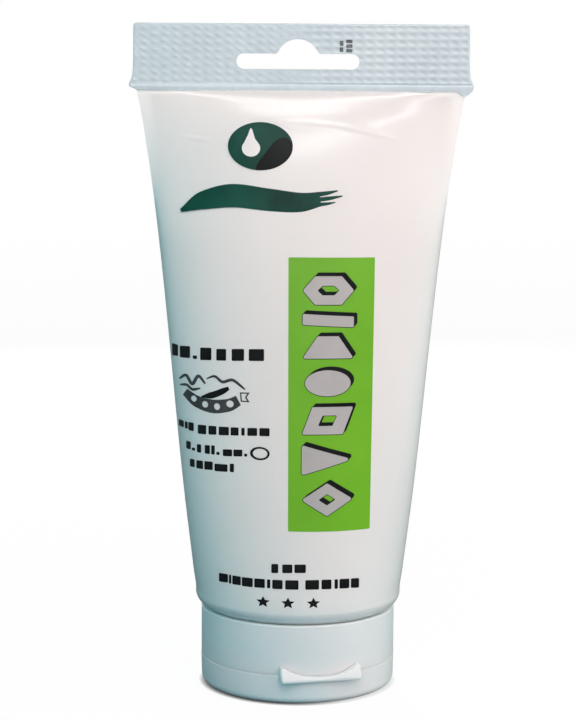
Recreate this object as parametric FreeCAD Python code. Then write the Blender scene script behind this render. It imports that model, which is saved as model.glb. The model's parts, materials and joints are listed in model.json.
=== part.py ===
import FreeCAD, Part
import math
import os

# A squeeze tube of paint standing on its closed flip-top cap. The tube axis is Z, with the
# lid's outer face at z = 0 and the crimped band with its hang slot on top. The sleeve is
# round at the shoulder and flattens upwards, wide along X and thin along Y. The front is -Y.
# All sizes are in mm. "HALF" is a half-width along X, "_R" a radius about the tube axis.

Vector = FreeCAD.Vector
ORIGIN = Vector(0, 0, 0)
UP = Vector(0, 0, 1)

# ---------------------------------------------------------------- sleeve and crimped band
SLEEVE_D = 45.0             # outer diameter where the sleeve is round
SLEEVE_R = SLEEVE_D / 2
SLEEVE_T = 0.5              # wall
SLEEVE_RI = SLEEVE_R - SLEEVE_T
SHOULDER_BOTTOM_Z = 17.45   # underside of the shoulder
SHOULDER_TOP_Z = 21.0       # the sleeve starts to flatten here
SHOULDER_ROUND = 3.25       # round-over from the sleeve to the underside
SHOULDER_HOLE_R = 20.15     # hole in the sleeve's underside, filled by the tube head
FLOOR_Z = SHOULDER_BOTTOM_Z + SLEEVE_T
SLEEVE_INSIDE_TOP_Z = 129.0

CORNER_R = 19.6             # the inner corner starts here with a shallow slope
CORNER_RUN = 1.7
CORNER_RISE = 0.7

SEAL_Z0 = 130.1             # lower edge of the crimped band
SEAL_TOP_Z = 144.3
SEAL_T = 1.1
SEAL_FOOT_HALF = 35.4       # at the lower edge
SEAL_EAR_HALF = 37.0        # at the ears just above it
SEAL_TOP_HALF = 36.0        # at the top edge

SLOT_X = -0.75              # centre of the hang slot
SLOT_W = 26.4
SLOT_Z0 = 134.6
SLOT_Z1 = 137.9
DOME_HALF = 4.4             # dome over the middle of the slot
DOME_TOP_Z = 141.0
SLOT_CUT_Y = 3.0            # the slot cutter reaches this far to the front and back

# ---------------------------------------------------------------- neck and thread
NECK_R = 7.8                # thread root
NECK_BORE_R = 6.0
NECK_Z0 = 8.4               # neck mouth
NECK_CHAMFER = 0.5
HEAD_R = SHOULDER_HOLE_R - 0.02
HEAD_GAP = 0.07             # between the head and the sleeve's inside
THREAD_PITCH = 3.0
THREAD_H = 1.0
THREAD_ROOT_W = 1.3
THREAD_CREST_W = 0.7
THREAD_BITE = 0.3           # how deep a ridge is sunk into its wall
THREAD_CLEAR = 0.2
THREAD_Z0 = 10.2            # start of the neck's thread
FOIL_T = 0.1
FOIL_R = NECK_R - 0.1

# ---------------------------------------------------------------- paint
PAINT_TOP_Z = 109.5
PAINT_GAP = 0.1             # between the paint and the walls around it
PAINT_HEAD_R = HEAD_R - 0.6
PAINT_HEAD_Z = SHOULDER_BOTTOM_Z + 2.15

# ---------------------------------------------------------------- cap base
CAP_R = 21.25
CAP_WALL = 1.6
CAP_RI = CAP_R - CAP_WALL
CAP_TOP_Z = 17.22
CAP_EDGE = 0.3              # chamfer on the outer edges
CAP_YAW = 13.7              # degrees the cap is turned, its front moving towards +X
PART_Z = 6.45               # parting line between cap base and lid
PART_GAP = 0.14
BASE_Z = PART_Z + PART_GAP / 2
DECK_T = 1.2
DECK_TOP_Z = BASE_Z + DECK_T

NOZZLE_R = 3.5
ORIFICE_R = 1.8
RING_RI = 18.55             # ring hanging from the deck into the lid
RING_RO = 19.75
RING_Z0 = 5.0
RING_CHAMFER = 0.2
COLLAR_RI = NECK_R + THREAD_H + THREAD_CLEAR    # threaded collar around the neck
COLLAR_RO = COLLAR_RI + 1.5
COLLAR_TOP_Z = 16.2
RIB_COUNT = 6
RIB_HALF_T = 0.45
RIB_TOP_Z = 14.5
RIB_SINK = 0.3              # how deep a rib runs into the walls at its ends
LINER_R = 7.85
LINER_HOLE_R = 2.8
LINER_T = 0.5

# ---------------------------------------------------------------- lid
LID_TOP_Z = PART_Z - PART_GAP / 2
LID_PLATE_T = 1.4
LID_RI = CAP_R - 1.25
LID_FILLET = 1.8
LID_FOOT_R = CAP_R - 0.12   # outer radius just above the fillet
LID_RIM_R = CAP_R + 0.05    # outer radius near the parting line
PIN_R = 1.5
PIN_TOP_Z = 5.2

LIP_HALF = 8.85             # thumb lip
LIP_Z0 = 5.35               # its underside
LIP_END_Z = 8.4             # its top at the ends
LIP_MID_Z = 6.25            # its top in the middle
LIP_END_W = 0.5             # sloped corner at each end
LIP_END_H = 0.4
LIP_FRONT_Y = -(CAP_R + 1.3)

# ---------------------------------------------------------------- hinge, at +Y before the yaw
HINGE_Y = 21.2              # hinge axis
HINGE_LAND_Y = 20.6         # flat land behind the hinge web
HINGE_LAND_HALF = 12.0
HINGE_LAND_HALF_H = 3.3
WEB_HALF = 4.8
WEB_BEAD_R = 0.2            # round bead along the hinge axis
STRAP_SPANS = ((16.5, 24.5), (-24.5, -16.5))    # pocket angles from +Y, degrees
STRAP_INSET = 0.6           # degrees a strap is short of its pocket at each end
STRAP_R0, STRAP_R1 = 20.77, 21.2
STRAP_HALF_H = 2.85
POCKET_R0, POCKET_R1 = 20.75, 24.0
POCKET_HALF_H = 3.0

FAR_R = 60.0                # outside everything, for trimming tools
FAR_Z = 150.0
SKIN_STEPS = 24             # steps across the front or back of a sleeve section

# Outer half-width of the sleeve along its height: (z, half-width)
WIDTHS = [
    (SHOULDER_BOTTOM_Z, SLEEVE_R), (SHOULDER_TOP_Z, SLEEVE_R), (25.0, 23.02), (30.0, 23.63),
    (40.0, 24.85), (50.0, 25.93), (60.0, 26.90), (70.0, 27.83), (80.0, 28.77), (90.0, 29.76),
    (100.0, 30.85), (108.0, 31.83), (115.0, 32.80), (120.0, 33.55), (124.0, 34.20),
    (127.0, 34.75), (129.0, 35.18), (SEAL_Z0, SEAL_FOOT_HALF),
]

# Half-depths close to the crimp: (z, half-depth)
CRIMP_DEPTHS = [(127.0, 3.45), (129.0, 1.95), (SEAL_Z0, SEAL_T / 2)]

# Right-hand edge of the crimped band, upwards: (x, z)
SEAL_EDGE = [
    (SEAL_FOOT_HALF, SEAL_Z0), (36.2, 130.45), (SEAL_EAR_HALF, 130.75), (SEAL_EAR_HALF, 131.9),
    (36.45, 132.7), (36.2, 134.0), (SEAL_TOP_HALF, SEAL_TOP_Z),
]


# ---------------------------------------------------------------- shape helpers
def closed_polygon(points):
    return Part.makePolygon(points + points[:1])


def polygon_face(points):
    return Part.Face(closed_polygon(points))


def on_xz(points):
    """(x, z) pairs as points on the XZ plane."""
    return [Vector(x, 0, z) for x, z in points]


def segments(points):
    """Straight edges joining (x, z) points in turn."""
    places = on_xz(points)
    return [Part.LineSegment(a, b).toShape() for a, b in zip(places, places[1:])]


def arc_edge(points):
    """An arc through three (x, z) points."""
    return Part.Arc(*on_xz(points)).toShape()


def round_over(start_r, start_z, radius):
    """A convex quarter arc from a flat underside up to an upright wall."""
    reach = radius * math.sin(math.pi / 4)
    end_z = start_z + radius
    return arc_edge([(start_r, start_z), (start_r + reach, end_z - reach),
                     (start_r + radius, end_z)])


def revolve(points):
    """A closed polygon of (r, z) points turned about the tube axis."""
    return polygon_face(on_xz(points)).revolve(ORIGIN, UP, 360)


def revolve_edges(edges):
    face = Part.Face(Part.Wire(Part.__sortEdges__(edges)))
    return face.revolve(ORIGIN, UP, 360)


def cylinder(radius, height, z):
    return Part.makeCylinder(radius, height, Vector(0, 0, z))


def box(x0, x1, y0, y1, z0, z1):
    return Part.makeBox(x1 - x0, y1 - y0, z1 - z0, Vector(x0, y0, z0))


def sector(r0, r1, angles, half_height):
    """A block of ring about the parting line, between two angles measured from +Y."""
    height = 2 * half_height
    z0 = PART_Z - half_height
    block = Part.makeCylinder(r1, height, Vector(0, 0, z0), UP, angles[1] - angles[0])
    block = block.cut(cylinder(r0, height + 2, z0 - 1))
    block.rotate(ORIGIN, UP, 90 + angles[0])
    return block


def single_solid(shape):
    """The one solid of a shape, cleaned of seams left by fusing."""
    solids = shape.removeSplitter().Solids
    assert len(solids) == 1, len(solids)
    return solids[0]


def turn_cap(shape):
    """Turn a cap piece, modelled with its front on -Y, to where it stops on the thread."""
    shape = shape.copy()
    shape.rotate(ORIGIN, UP, CAP_YAW)
    return shape


# ---------------------------------------------------------------- the sleeve's form
def ellipse_perimeter(a, b):
    """Ramanujan's approximation, from the half-axes."""
    h = ((a - b) / (a + b)) ** 2
    return math.pi * (a + b) * (1 + 3 * h / (10 + math.sqrt(4 - 3 * h)))


def half_depth(half_width):
    """The wall doesn't stretch, so every section keeps the round end's perimeter."""
    target = math.pi * SLEEVE_D
    low, high = 1e-6, 40.0
    for _ in range(80):
        middle = (low + high) / 2
        if ellipse_perimeter(half_width, middle) < target:
            low = middle
        else:
            high = middle
    return (low + high) / 2


DEPTHS = [(z, half_depth(half) if z > SHOULDER_TOP_Z else SLEEVE_R)
          for z, half in WIDTHS if z < CRIMP_DEPTHS[0][0]] + CRIMP_DEPTHS


def monotone(table, x):
    """A cubic Hermite curve through the table, its slopes limited so it doesn't overshoot."""
    xs, ys = zip(*table)
    last = len(xs) - 1
    steps = [(ys[i + 1] - ys[i]) / (xs[i + 1] - xs[i]) for i in range(last)]
    slopes = [steps[0]]
    for before, after in zip(steps, steps[1:]):
        slopes.append(0.0 if before * after <= 0 else 2 * before * after / (before + after))
    slopes.append(steps[-1])
    i = sum(1 for knot in xs[1:-1] if knot <= x)
    width = xs[i + 1] - xs[i]
    t = (x - xs[i]) / width
    return ((2 * t ** 3 - 3 * t ** 2 + 1) * ys[i]
            + (t ** 3 - 2 * t ** 2 + t) * width * slopes[i]
            + (-2 * t ** 3 + 3 * t ** 2) * ys[i + 1]
            + (t ** 3 - t ** 2) * width * slopes[i + 1])


def crease(z):
    """0 where sections are ellipses, rising to 0.9 where front and back meet in a crease."""
    t = min(1.0, max(0.0, (z - 98.0) / 26.0))
    return 0.9 * t * t * (3 - 2 * t)


def section(z, offset):
    """(half-width, half-depth, z) of the sleeve, moved in by offset.

    The inside stops short of the creased sides."""
    half_width = monotone(WIDTHS, z) - offset - 5 * offset * crease(z)
    return half_width, max(monotone(DEPTHS, z) - offset, 0.25), z


def section_heights(z_first, z_last):
    """Heights set closer together near z_first and near z_last."""
    heights, z = [], z_first
    while z < z_last - 0.3:
        heights.append(z)
        z += min(4.0, 1.2 + 0.3 * (z - z_first), 0.5 + 0.25 * max(0.0, z_last - z))
    return heights + [z_last]


def section_row(half_width, depth, z):
    """Points from +X to -X over one side of a section: part ellipse, part lens."""
    lens, row = crease(z), []
    for i in range(SKIN_STEPS + 1):
        angle = math.pi * i / SKIN_STEPS
        sine = math.sin(angle) if 0 < i < SKIN_STEPS else 0.0
        across = (1 - lens) * math.cos(angle) + lens * (1 - 2 * i / SKIN_STEPS)
        bulge = (1 - lens) * sine + lens * (1 - across * across)
        row.append(Vector(half_width * across, depth * bulge, z))
    return row


def sleeve_form(z_first, z_last, offset=0.0):
    """A solid of the sleeve's form: a back and a front surface and two flat ends."""
    sections = [section(z, offset) for z in section_heights(z_first, z_last)]
    faces = []
    for side in (1, -1):
        surface = Part.BSplineSurface()
        surface.interpolate([section_row(half, side * depth, z) for half, depth, z in sections])
        faces.append(surface.toShape())
    for end_z in (z_first, z_last):
        rim = [edge for face in faces for edge in face.Edges
               if abs(edge.BoundBox.ZMin - end_z) < 1e-6
               and abs(edge.BoundBox.ZMax - end_z) < 1e-6]
        faces.append(Part.Face(Part.Wire(Part.__sortEdges__(rim))))
    shell = Part.makeShell(faces)
    shell.sewShape()
    solid = Part.makeSolid(shell)
    if solid.Volume < 0:
        solid.reverse()
    return solid


# ---------------------------------------------------------------- tube
def make_sleeve():
    low = SHOULDER_BOTTOM_Z
    start_r = SLEEVE_R + 0.05 - SHOULDER_ROUND
    round_top = low + SHOULDER_ROUND
    rounding = revolve_edges(
        segments([(0, low), (start_r, low)])
        + [round_over(start_r, low, SHOULDER_ROUND)]
        + segments([(start_r + SHOULDER_ROUND, round_top), (FAR_R, round_top), (FAR_R, FAR_Z),
                    (0, FAR_Z), (0, low)]))
    outside = sleeve_form(low, SEAL_Z0).common(rounding)

    # the inside has a two-step corner over the shoulder
    corner_top = FLOOR_Z + 3.13
    corner = revolve([
        (0, FLOOR_Z), (CORNER_R, FLOOR_Z), (CORNER_R + CORNER_RUN, FLOOR_Z + CORNER_RISE),
        (CORNER_R + 2.7, corner_top), (FAR_R, corner_top), (FAR_R, FAR_Z), (0, FAR_Z),
    ])
    inside = sleeve_form(FLOOR_Z, SLEEVE_INSIDE_TOP_Z, SLEEVE_T).common(corner)
    hole = cylinder(SHOULDER_HOLE_R, 1.5, SHOULDER_BOTTOM_Z - 0.5)
    return single_solid(outside.cut(inside).cut(hole))


def make_end_seal():
    """The crimped band with its round-ended hang slot and the dome over it."""
    outline = SEAL_EDGE + [(-x, z) for x, z in reversed(SEAL_EDGE)]
    face = polygon_face([Vector(x, -SEAL_T / 2, z) for x, z in outline])
    band = face.extrude(Vector(0, SEAL_T, 0))

    slot = box(SLOT_X - SLOT_W / 2, SLOT_X + SLOT_W / 2, -SLOT_CUT_Y, SLOT_CUT_Y,
               SLOT_Z0, SLOT_Z1)
    along_y = [edge for edge in slot.Edges
               if abs(edge.Vertexes[0].Y - edge.Vertexes[-1].Y) > 5]
    # just under half the height, so that a sliver of flat is left at each end
    slot = slot.makeFillet((SLOT_Z1 - SLOT_Z0) / 2 - 0.02, along_y)

    rise = DOME_TOP_Z - SLOT_Z1
    dome_r = (DOME_HALF ** 2 + rise ** 2) / (2 * rise)
    dome = Part.makeCylinder(dome_r, 2 * SLOT_CUT_Y,
                             Vector(SLOT_X, -SLOT_CUT_Y, DOME_TOP_Z - dome_r), Vector(0, 1, 0))
    dome = dome.common(box(SLOT_X - 20, SLOT_X + 20, -SLOT_CUT_Y, SLOT_CUT_Y,
                           SLOT_Z0 + 1, DOME_TOP_Z + 1))
    return single_solid(band.cut(slot.fuse(dome)))


def thread_ridge(root_r, crest_r, z_start, turns):
    """A trapezoid ridge, sunk a little into the wall at root_r that carries it."""
    helix = Part.makeHelix(THREAD_PITCH, THREAD_PITCH * turns, (root_r + crest_r) / 2)
    sunk_r = root_r - math.copysign(THREAD_BITE, crest_r - root_r)
    root, crest = THREAD_ROOT_W / 2, THREAD_CREST_W / 2
    profile = closed_polygon(on_xz([
        (sunk_r, -root), (root_r, -root), (crest_r, -crest),
        (crest_r, crest), (root_r, root), (sunk_r, root),
    ]))
    ridge = Part.Wire(helix).makePipeShell([profile], True, True)
    ridge.translate(Vector(0, 0, z_start))
    return ridge


def make_tube_head():
    """The shoulder disc and the threaded neck."""
    low = SHOULDER_BOTTOM_Z
    wall_r = SLEEVE_RI - HEAD_GAP
    corner_gap = 0.06
    slope_z = FLOOR_Z + (HEAD_R - CORNER_R) * CORNER_RISE / CORNER_RUN + HEAD_GAP
    head = revolve([
        (NECK_BORE_R, NECK_Z0), (NECK_R - NECK_CHAMFER, NECK_Z0),
        (NECK_R, NECK_Z0 + NECK_CHAMFER), (NECK_R, low - 0.8), (NECK_R + 0.8, low),
        (HEAD_R, low), (HEAD_R, slope_z),
        (CORNER_R + CORNER_RUN - corner_gap, FLOOR_Z + CORNER_RISE + corner_gap),
        (wall_r, SHOULDER_TOP_Z - 0.4), (wall_r, SHOULDER_TOP_Z + 0.3),
        (SLEEVE_RI - 0.9, SHOULDER_TOP_Z + 0.3), (HEAD_R + 0.2, low + 1.9),
        (NECK_BORE_R + 2.0, low + 1.6), (NECK_BORE_R, low + 0.6),
    ])
    return single_solid(head.fuse(thread_ridge(NECK_R, NECK_R + THREAD_H, THREAD_Z0, 1.5)))


def make_paint_fill():
    bore_r = NECK_BORE_R - PAINT_GAP
    bore_z = NECK_Z0 + 0.1
    paint = sleeve_form(SHOULDER_TOP_Z, PAINT_TOP_Z, SLEEVE_T + PAINT_GAP)
    paint = paint.fuse(cylinder(PAINT_HEAD_R, SHOULDER_TOP_Z + 0.2 - PAINT_HEAD_Z, PAINT_HEAD_Z))
    paint = paint.fuse(cylinder(bore_r, PAINT_HEAD_Z + 0.5 - bore_z, bore_z))
    # trim the paint clear of the head's raised rim
    rim_z = SHOULDER_TOP_Z + 0.45
    keep = revolve([
        (0, 0), (bore_r, 0), (bore_r, PAINT_HEAD_Z), (PAINT_HEAD_R, PAINT_HEAD_Z),
        (HEAD_R + 0.6, rim_z), (FAR_R, rim_z), (FAR_R, FAR_Z), (0, FAR_Z),
    ])
    return single_solid(paint.common(keep))


# ---------------------------------------------------------------- cap
def make_cap_liner():
    """The washer on the deck, facing the neck mouth."""
    washer = cylinder(LINER_R, LINER_T, DECK_TOP_Z + 0.02)
    return washer.cut(cylinder(LINER_HOLE_R, 2, DECK_TOP_Z - 0.5))


def make_hinge_cut():
    """The flat land and the two strap pockets, cut from both cap base and lid."""
    land = box(-HINGE_LAND_HALF, HINGE_LAND_HALF, HINGE_LAND_Y, 30,
               PART_Z - HINGE_LAND_HALF_H, PART_Z + HINGE_LAND_HALF_H)
    return land.fuse([sector(POCKET_R0, POCKET_R1, span, POCKET_HALF_H)
                      for span in STRAP_SPANS])


def make_cap_base():
    ring_chamfer_z = RING_Z0 + RING_CHAMFER
    base = revolve([
        # nozzle, from its tip to the deck
        (ORIFICE_R, 3.4), (2.7, 3.2), (3.0, 3.4), (NOZZLE_R, BASE_Z - 0.9),
        (5.6, BASE_Z - 0.5), (6.0, BASE_Z),
        # hanging ring
        (RING_RI, BASE_Z), (RING_RI, ring_chamfer_z), (RING_RI + RING_CHAMFER, RING_Z0),
        (RING_RO - RING_CHAMFER, RING_Z0), (RING_RO, ring_chamfer_z), (RING_RO, BASE_Z),
        # outer wall
        (CAP_R - CAP_EDGE, BASE_Z), (CAP_R, BASE_Z + CAP_EDGE), (CAP_R, CAP_TOP_Z - CAP_EDGE),
        (CAP_R - CAP_EDGE, CAP_TOP_Z), (CAP_RI + 0.2, CAP_TOP_Z), (CAP_RI, CAP_TOP_Z - 0.2),
        (CAP_RI, DECK_TOP_Z + 0.6), (CAP_RI - 0.6, DECK_TOP_Z),
        # collar
        (COLLAR_RO + 0.5, DECK_TOP_Z), (COLLAR_RO, DECK_TOP_Z + 0.5), (COLLAR_RO, COLLAR_TOP_Z),
        (COLLAR_RI + 0.5, COLLAR_TOP_Z), (COLLAR_RI, COLLAR_TOP_Z - 0.5),
        (COLLAR_RI, DECK_TOP_Z),
        # orifice, seen from the deck
        (2.4, DECK_TOP_Z), (ORIFICE_R, DECK_TOP_Z - 0.6),
    ])
    spacing = 360 / RIB_COUNT
    for i in range(RIB_COUNT):
        rib = box(COLLAR_RO - RIB_SINK, CAP_RI + RIB_SINK, -RIB_HALF_T, RIB_HALF_T,
                  DECK_TOP_Z - 0.1, RIB_TOP_Z)
        rib.rotate(ORIGIN, UP, spacing * (i + 0.5))
        base = base.fuse(rib)
    thread = thread_ridge(COLLAR_RI, NECK_R + THREAD_CLEAR, THREAD_Z0 + THREAD_PITCH / 2, 1.0)
    # the thread is set to the neck, so it is turned back by the yaw that turn_cap adds
    thread.rotate(ORIGIN, UP, -CAP_YAW)
    return single_solid(base.fuse(thread).cut(make_hinge_cut()))


def make_thumb_lip():
    """A bar at the front whose top is scooped between two raised ends."""
    flat_half = LIP_HALF - LIP_END_W
    side_z = LIP_END_Z - LIP_END_H
    scoop = arc_edge([(flat_half, LIP_END_Z), (0, LIP_MID_Z), (-flat_half, LIP_END_Z)])
    outline = Part.Wire([scoop] + segments([
        (-flat_half, LIP_END_Z), (-LIP_HALF, side_z), (-LIP_HALF, LIP_Z0),
        (LIP_HALF, LIP_Z0), (LIP_HALF, side_z), (flat_half, LIP_END_Z),
    ]))
    lip = Part.Face(outline).extrude(Vector(0, LIP_FRONT_Y, 0))
    # the front leans back towards the top; points are (y, z)
    lean = polygon_face([Vector(-20, y, z) for y, z in [
        (LIP_FRONT_Y, LIP_Z0 - 1), (LIP_FRONT_Y, LIP_Z0 + 0.45),
        (-(CAP_R - 0.9), LIP_END_Z + 0.6), (-15, LIP_END_Z + 0.6), (-15, LIP_Z0 - 1),
    ]]).extrude(Vector(40, 0, 0))
    lip = lip.common(lean)
    # clear of the cap base above the parting line, joined to the lid's wall below it
    lip = lip.cut(cylinder(CAP_R + 0.18, 10, LID_TOP_Z))
    return lip.cut(cylinder(CAP_R - 0.35, 20, -1))


def make_lid():
    foot_r = LID_FOOT_R - LID_FILLET
    shell = revolve_edges(
        segments([(0, 0), (foot_r, 0)])
        + [round_over(foot_r, 0, LID_FILLET)]
        + segments([
            (LID_FOOT_R, LID_FILLET), (LID_RIM_R, LID_TOP_Z - 0.25), (CAP_R - 0.2, LID_TOP_Z),
            (LID_RI + 0.25, LID_TOP_Z), (LID_RI, LID_TOP_Z - 0.25),
            (LID_RI, LID_PLATE_T + 1.0), (LID_RI - 1.0, LID_PLATE_T), (0, LID_PLATE_T), (0, 0),
        ]))
    sunk_z = LID_PLATE_T - 0.3
    # central pin, the low ring around it, and the bead inside the lid's wall
    pin = revolve([(0, sunk_z), (2.2, sunk_z), (2.2, LID_PLATE_T), (PIN_R, LID_PLATE_T + 0.5),
                   (PIN_R, PIN_TOP_Z - 0.5), (PIN_R - 0.5, PIN_TOP_Z), (0, PIN_TOP_Z)])
    ring = revolve([(4.6, sunk_z), (5.4, sunk_z), (5.4, 3.6), (4.6, 3.6)])
    bead = revolve([(LID_RI + 0.3, 4.95), (LID_RI - 0.12, 5.25), (LID_RI - 0.12, 5.4),
                    (LID_RI + 0.3, 5.7)])
    lid = shell.fuse([pin, ring, bead])
    return single_solid(lid.fuse(make_thumb_lip()).cut(make_hinge_cut()))


# ---------------------------------------------------------------- hinge
def web_prism(points, flip=1):
    """A prism along X as wide as the web, from (y, height over the parting line) points."""
    face = polygon_face([Vector(-WEB_HALF, y, PART_Z + flip * z) for y, z in points])
    return face.extrude(Vector(2 * WEB_HALF, 0, 0))


def make_hinge_web():
    """A flap above and one below, joined by a film that thins towards the hinge axis."""
    land, axis = HINGE_LAND_Y, HINGE_Y
    flap = [(land + 0.02, 0.5), (land + 0.02, 2.9), (land + 0.45, 2.9), (land + 0.45, 0.5)]
    film = [(land + 0.22, 0.55), (land + 0.45, 0.55), (axis + 0.14, 0.1), (axis + 0.14, -0.1),
            (land + 0.45, -0.55), (land + 0.22, -0.55), (axis - 0.14, -0.06),
            (axis - 0.14, 0.06)]
    web = web_prism(flap).fuse([web_prism(flap, flip=-1), web_prism(film)])
    bead = Part.makeCylinder(WEB_BEAD_R, 2 * WEB_HALF, Vector(-WEB_HALF, axis, PART_Z),
                             Vector(1, 0, 0))
    return single_solid(web.fuse(bead))


def make_hinge_straps():
    return Part.makeCompound([
        single_solid(sector(STRAP_R0, STRAP_R1, (start + STRAP_INSET, end - STRAP_INSET),
                            STRAP_HALF_H))
        for start, end in STRAP_SPANS])


# ---------------------------------------------------------------- export
pieces = {
    "sleeve": make_sleeve(),
    "end_seal": make_end_seal(),
    "tube_head": make_tube_head(),
    "foil_seal": cylinder(FOIL_R, FOIL_T, NECK_Z0 - FOIL_T),
    "paint_fill": make_paint_fill(),
    "cap_liner": make_cap_liner(),
    "cap_base": turn_cap(make_cap_base()),
    "hinge_web": turn_cap(make_hinge_web()),
    "hinge_straps": turn_cap(make_hinge_straps()),
    "lid": turn_cap(make_lid()),
}
os.makedirs("parts", exist_ok=True)
for name, shape in pieces.items():
    assert shape.isValid(), name
    shape.exportStep("parts/%s.step" % name)
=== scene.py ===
import bpy, bmesh, math, json
import numpy as np
from mathutils import Vector, Matrix
from mathutils.geometry import tessellate_polygon, convex_hull_2d

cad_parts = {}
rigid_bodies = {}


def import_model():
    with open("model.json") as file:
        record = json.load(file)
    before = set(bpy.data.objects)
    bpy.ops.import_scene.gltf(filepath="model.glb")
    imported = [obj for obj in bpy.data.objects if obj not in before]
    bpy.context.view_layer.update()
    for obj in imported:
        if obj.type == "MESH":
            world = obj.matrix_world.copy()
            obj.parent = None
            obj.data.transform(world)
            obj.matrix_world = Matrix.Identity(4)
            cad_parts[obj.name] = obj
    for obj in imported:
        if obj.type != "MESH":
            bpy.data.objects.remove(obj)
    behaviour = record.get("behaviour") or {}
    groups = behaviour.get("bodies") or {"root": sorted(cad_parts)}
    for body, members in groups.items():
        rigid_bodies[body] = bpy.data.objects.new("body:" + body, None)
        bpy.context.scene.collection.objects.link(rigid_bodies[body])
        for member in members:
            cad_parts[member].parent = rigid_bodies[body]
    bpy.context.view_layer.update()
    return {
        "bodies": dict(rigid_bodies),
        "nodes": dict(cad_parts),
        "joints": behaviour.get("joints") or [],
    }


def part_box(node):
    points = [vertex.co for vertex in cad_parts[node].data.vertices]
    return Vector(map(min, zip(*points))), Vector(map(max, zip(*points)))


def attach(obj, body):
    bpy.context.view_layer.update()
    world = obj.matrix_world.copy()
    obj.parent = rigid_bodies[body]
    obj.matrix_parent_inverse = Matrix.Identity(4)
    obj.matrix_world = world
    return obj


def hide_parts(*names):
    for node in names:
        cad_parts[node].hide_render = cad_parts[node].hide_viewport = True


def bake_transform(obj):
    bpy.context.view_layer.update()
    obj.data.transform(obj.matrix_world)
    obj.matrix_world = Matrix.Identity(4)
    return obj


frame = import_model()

MM = 0.001
scene = bpy.context.scene


def box_mm(node):
    a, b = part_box(node)
    return np.array(a) / MM, np.array(b) / MM


# ------------------------------------------------------------------ dimensions, mm, tied to the CAD boxes
S_LO, S_HI = box_mm("sleeve")
E_LO, E_HI = box_mm("end_seal")
C_LO, C_HI = box_mm("cap_base")
L_LO, L_HI = box_mm("lid")
SEAL_Z0 = float(E_LO[2])
TOP_Z = float(E_HI[2])
CAP_TOP_Z = float(C_HI[2]) + 0.10
CAP_R = 21.25
PART_Z, PART_GAP = 6.45, 0.14
Z_BASE, Z_LID = PART_Z + 0.025, PART_Z - 0.025      # the parting line as it looks when pressed shut
JOINT = {j["name"]: j for j in frame["joints"]}
_ax = JOINT["lid_hinge"]["axis"]
CAP_YAW = math.atan2(_ax[1], _ax[0])
YAW = Matrix.Rotation(CAP_YAW, 4, "Z")
HINGE_U = math.hypot(JOINT["lid_hinge"]["pos_m"][0], JOINT["lid_hinge"]["pos_m"][1]) / MM

WIDTHS = [
    (17.45, 22.5), (21.0, 22.5), (25.0, 23.02), (30.0, 23.63), (40.0, 24.85), (50.0, 25.93), (60.0, 26.90),
    (70.0, 27.83), (80.0, 28.77), (90.0, 29.76), (100.0, 30.85), (108.0, 31.83), (115.0, 32.80),
    (120.0, 33.55), (124.0, 34.20), (127.0, 34.75), (129.0, 35.18), (SEAL_Z0, 35.40),
]


def perimeter(a, b):
    h = ((a - b) / (a + b)) ** 2
    return math.pi * (a + b) * (1 + 3 * h / (10 + math.sqrt(4 - 3 * h)))


def half_depth(a):
    lo, hi = 1e-6, 40.0
    for _ in range(60):
        mid = (lo + hi) / 2
        if perimeter(a, mid) < math.pi * 45.0:
            lo = mid
        else:
            hi = mid
    return (lo + hi) / 2


class Smooth:
    """A cubic Hermite curve through a table that doesn't overshoot."""

    def __init__(self, table):
        self.x = np.array([p[0] for p in table], float)
        self.y = np.array([p[1] for p in table], float)
        d = np.diff(self.y) / np.diff(self.x)
        m = [d[0]]
        for i in range(1, len(d)):
            m.append(0.0 if d[i - 1] * d[i] <= 0 else 2 * d[i - 1] * d[i] / (d[i - 1] + d[i]))
        m.append(d[-1])
        self.m = np.array(m)

    def __call__(self, v):
        v = np.asarray(v, float)
        i = np.clip(np.searchsorted(self.x, v, side="right") - 1, 0, len(self.x) - 2)
        h = self.x[i + 1] - self.x[i]
        t = np.clip((v - self.x[i]) / h, 0, 1)
        return ((2 * t ** 3 - 3 * t ** 2 + 1) * self.y[i] + (t ** 3 - 2 * t ** 2 + t) * h * self.m[i]
                + (-2 * t ** 3 + 3 * t ** 2) * self.y[i + 1] + (t ** 3 - t ** 2) * h * self.m[i + 1])


A_OF = Smooth(WIDTHS)
B_OF = Smooth([(z, half_depth(a) if z > 21.0 else 22.5) for z, a in WIDTHS if z < 127.0] + [(127.0, 3.45), (129.0, 1.95), (SEAL_Z0, 0.55)])


def smoothstep(a, b, v):
    t = np.clip((np.asarray(v, float) - a) / (b - a), 0, 1)
    return t * t * (3 - 2 * t)


def crease(z):
    return 0.9 * smoothstep(98.0, 124.0, z)


def gauss(x, s):
    return np.exp(-0.5 * (x / s) ** 2)


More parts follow.
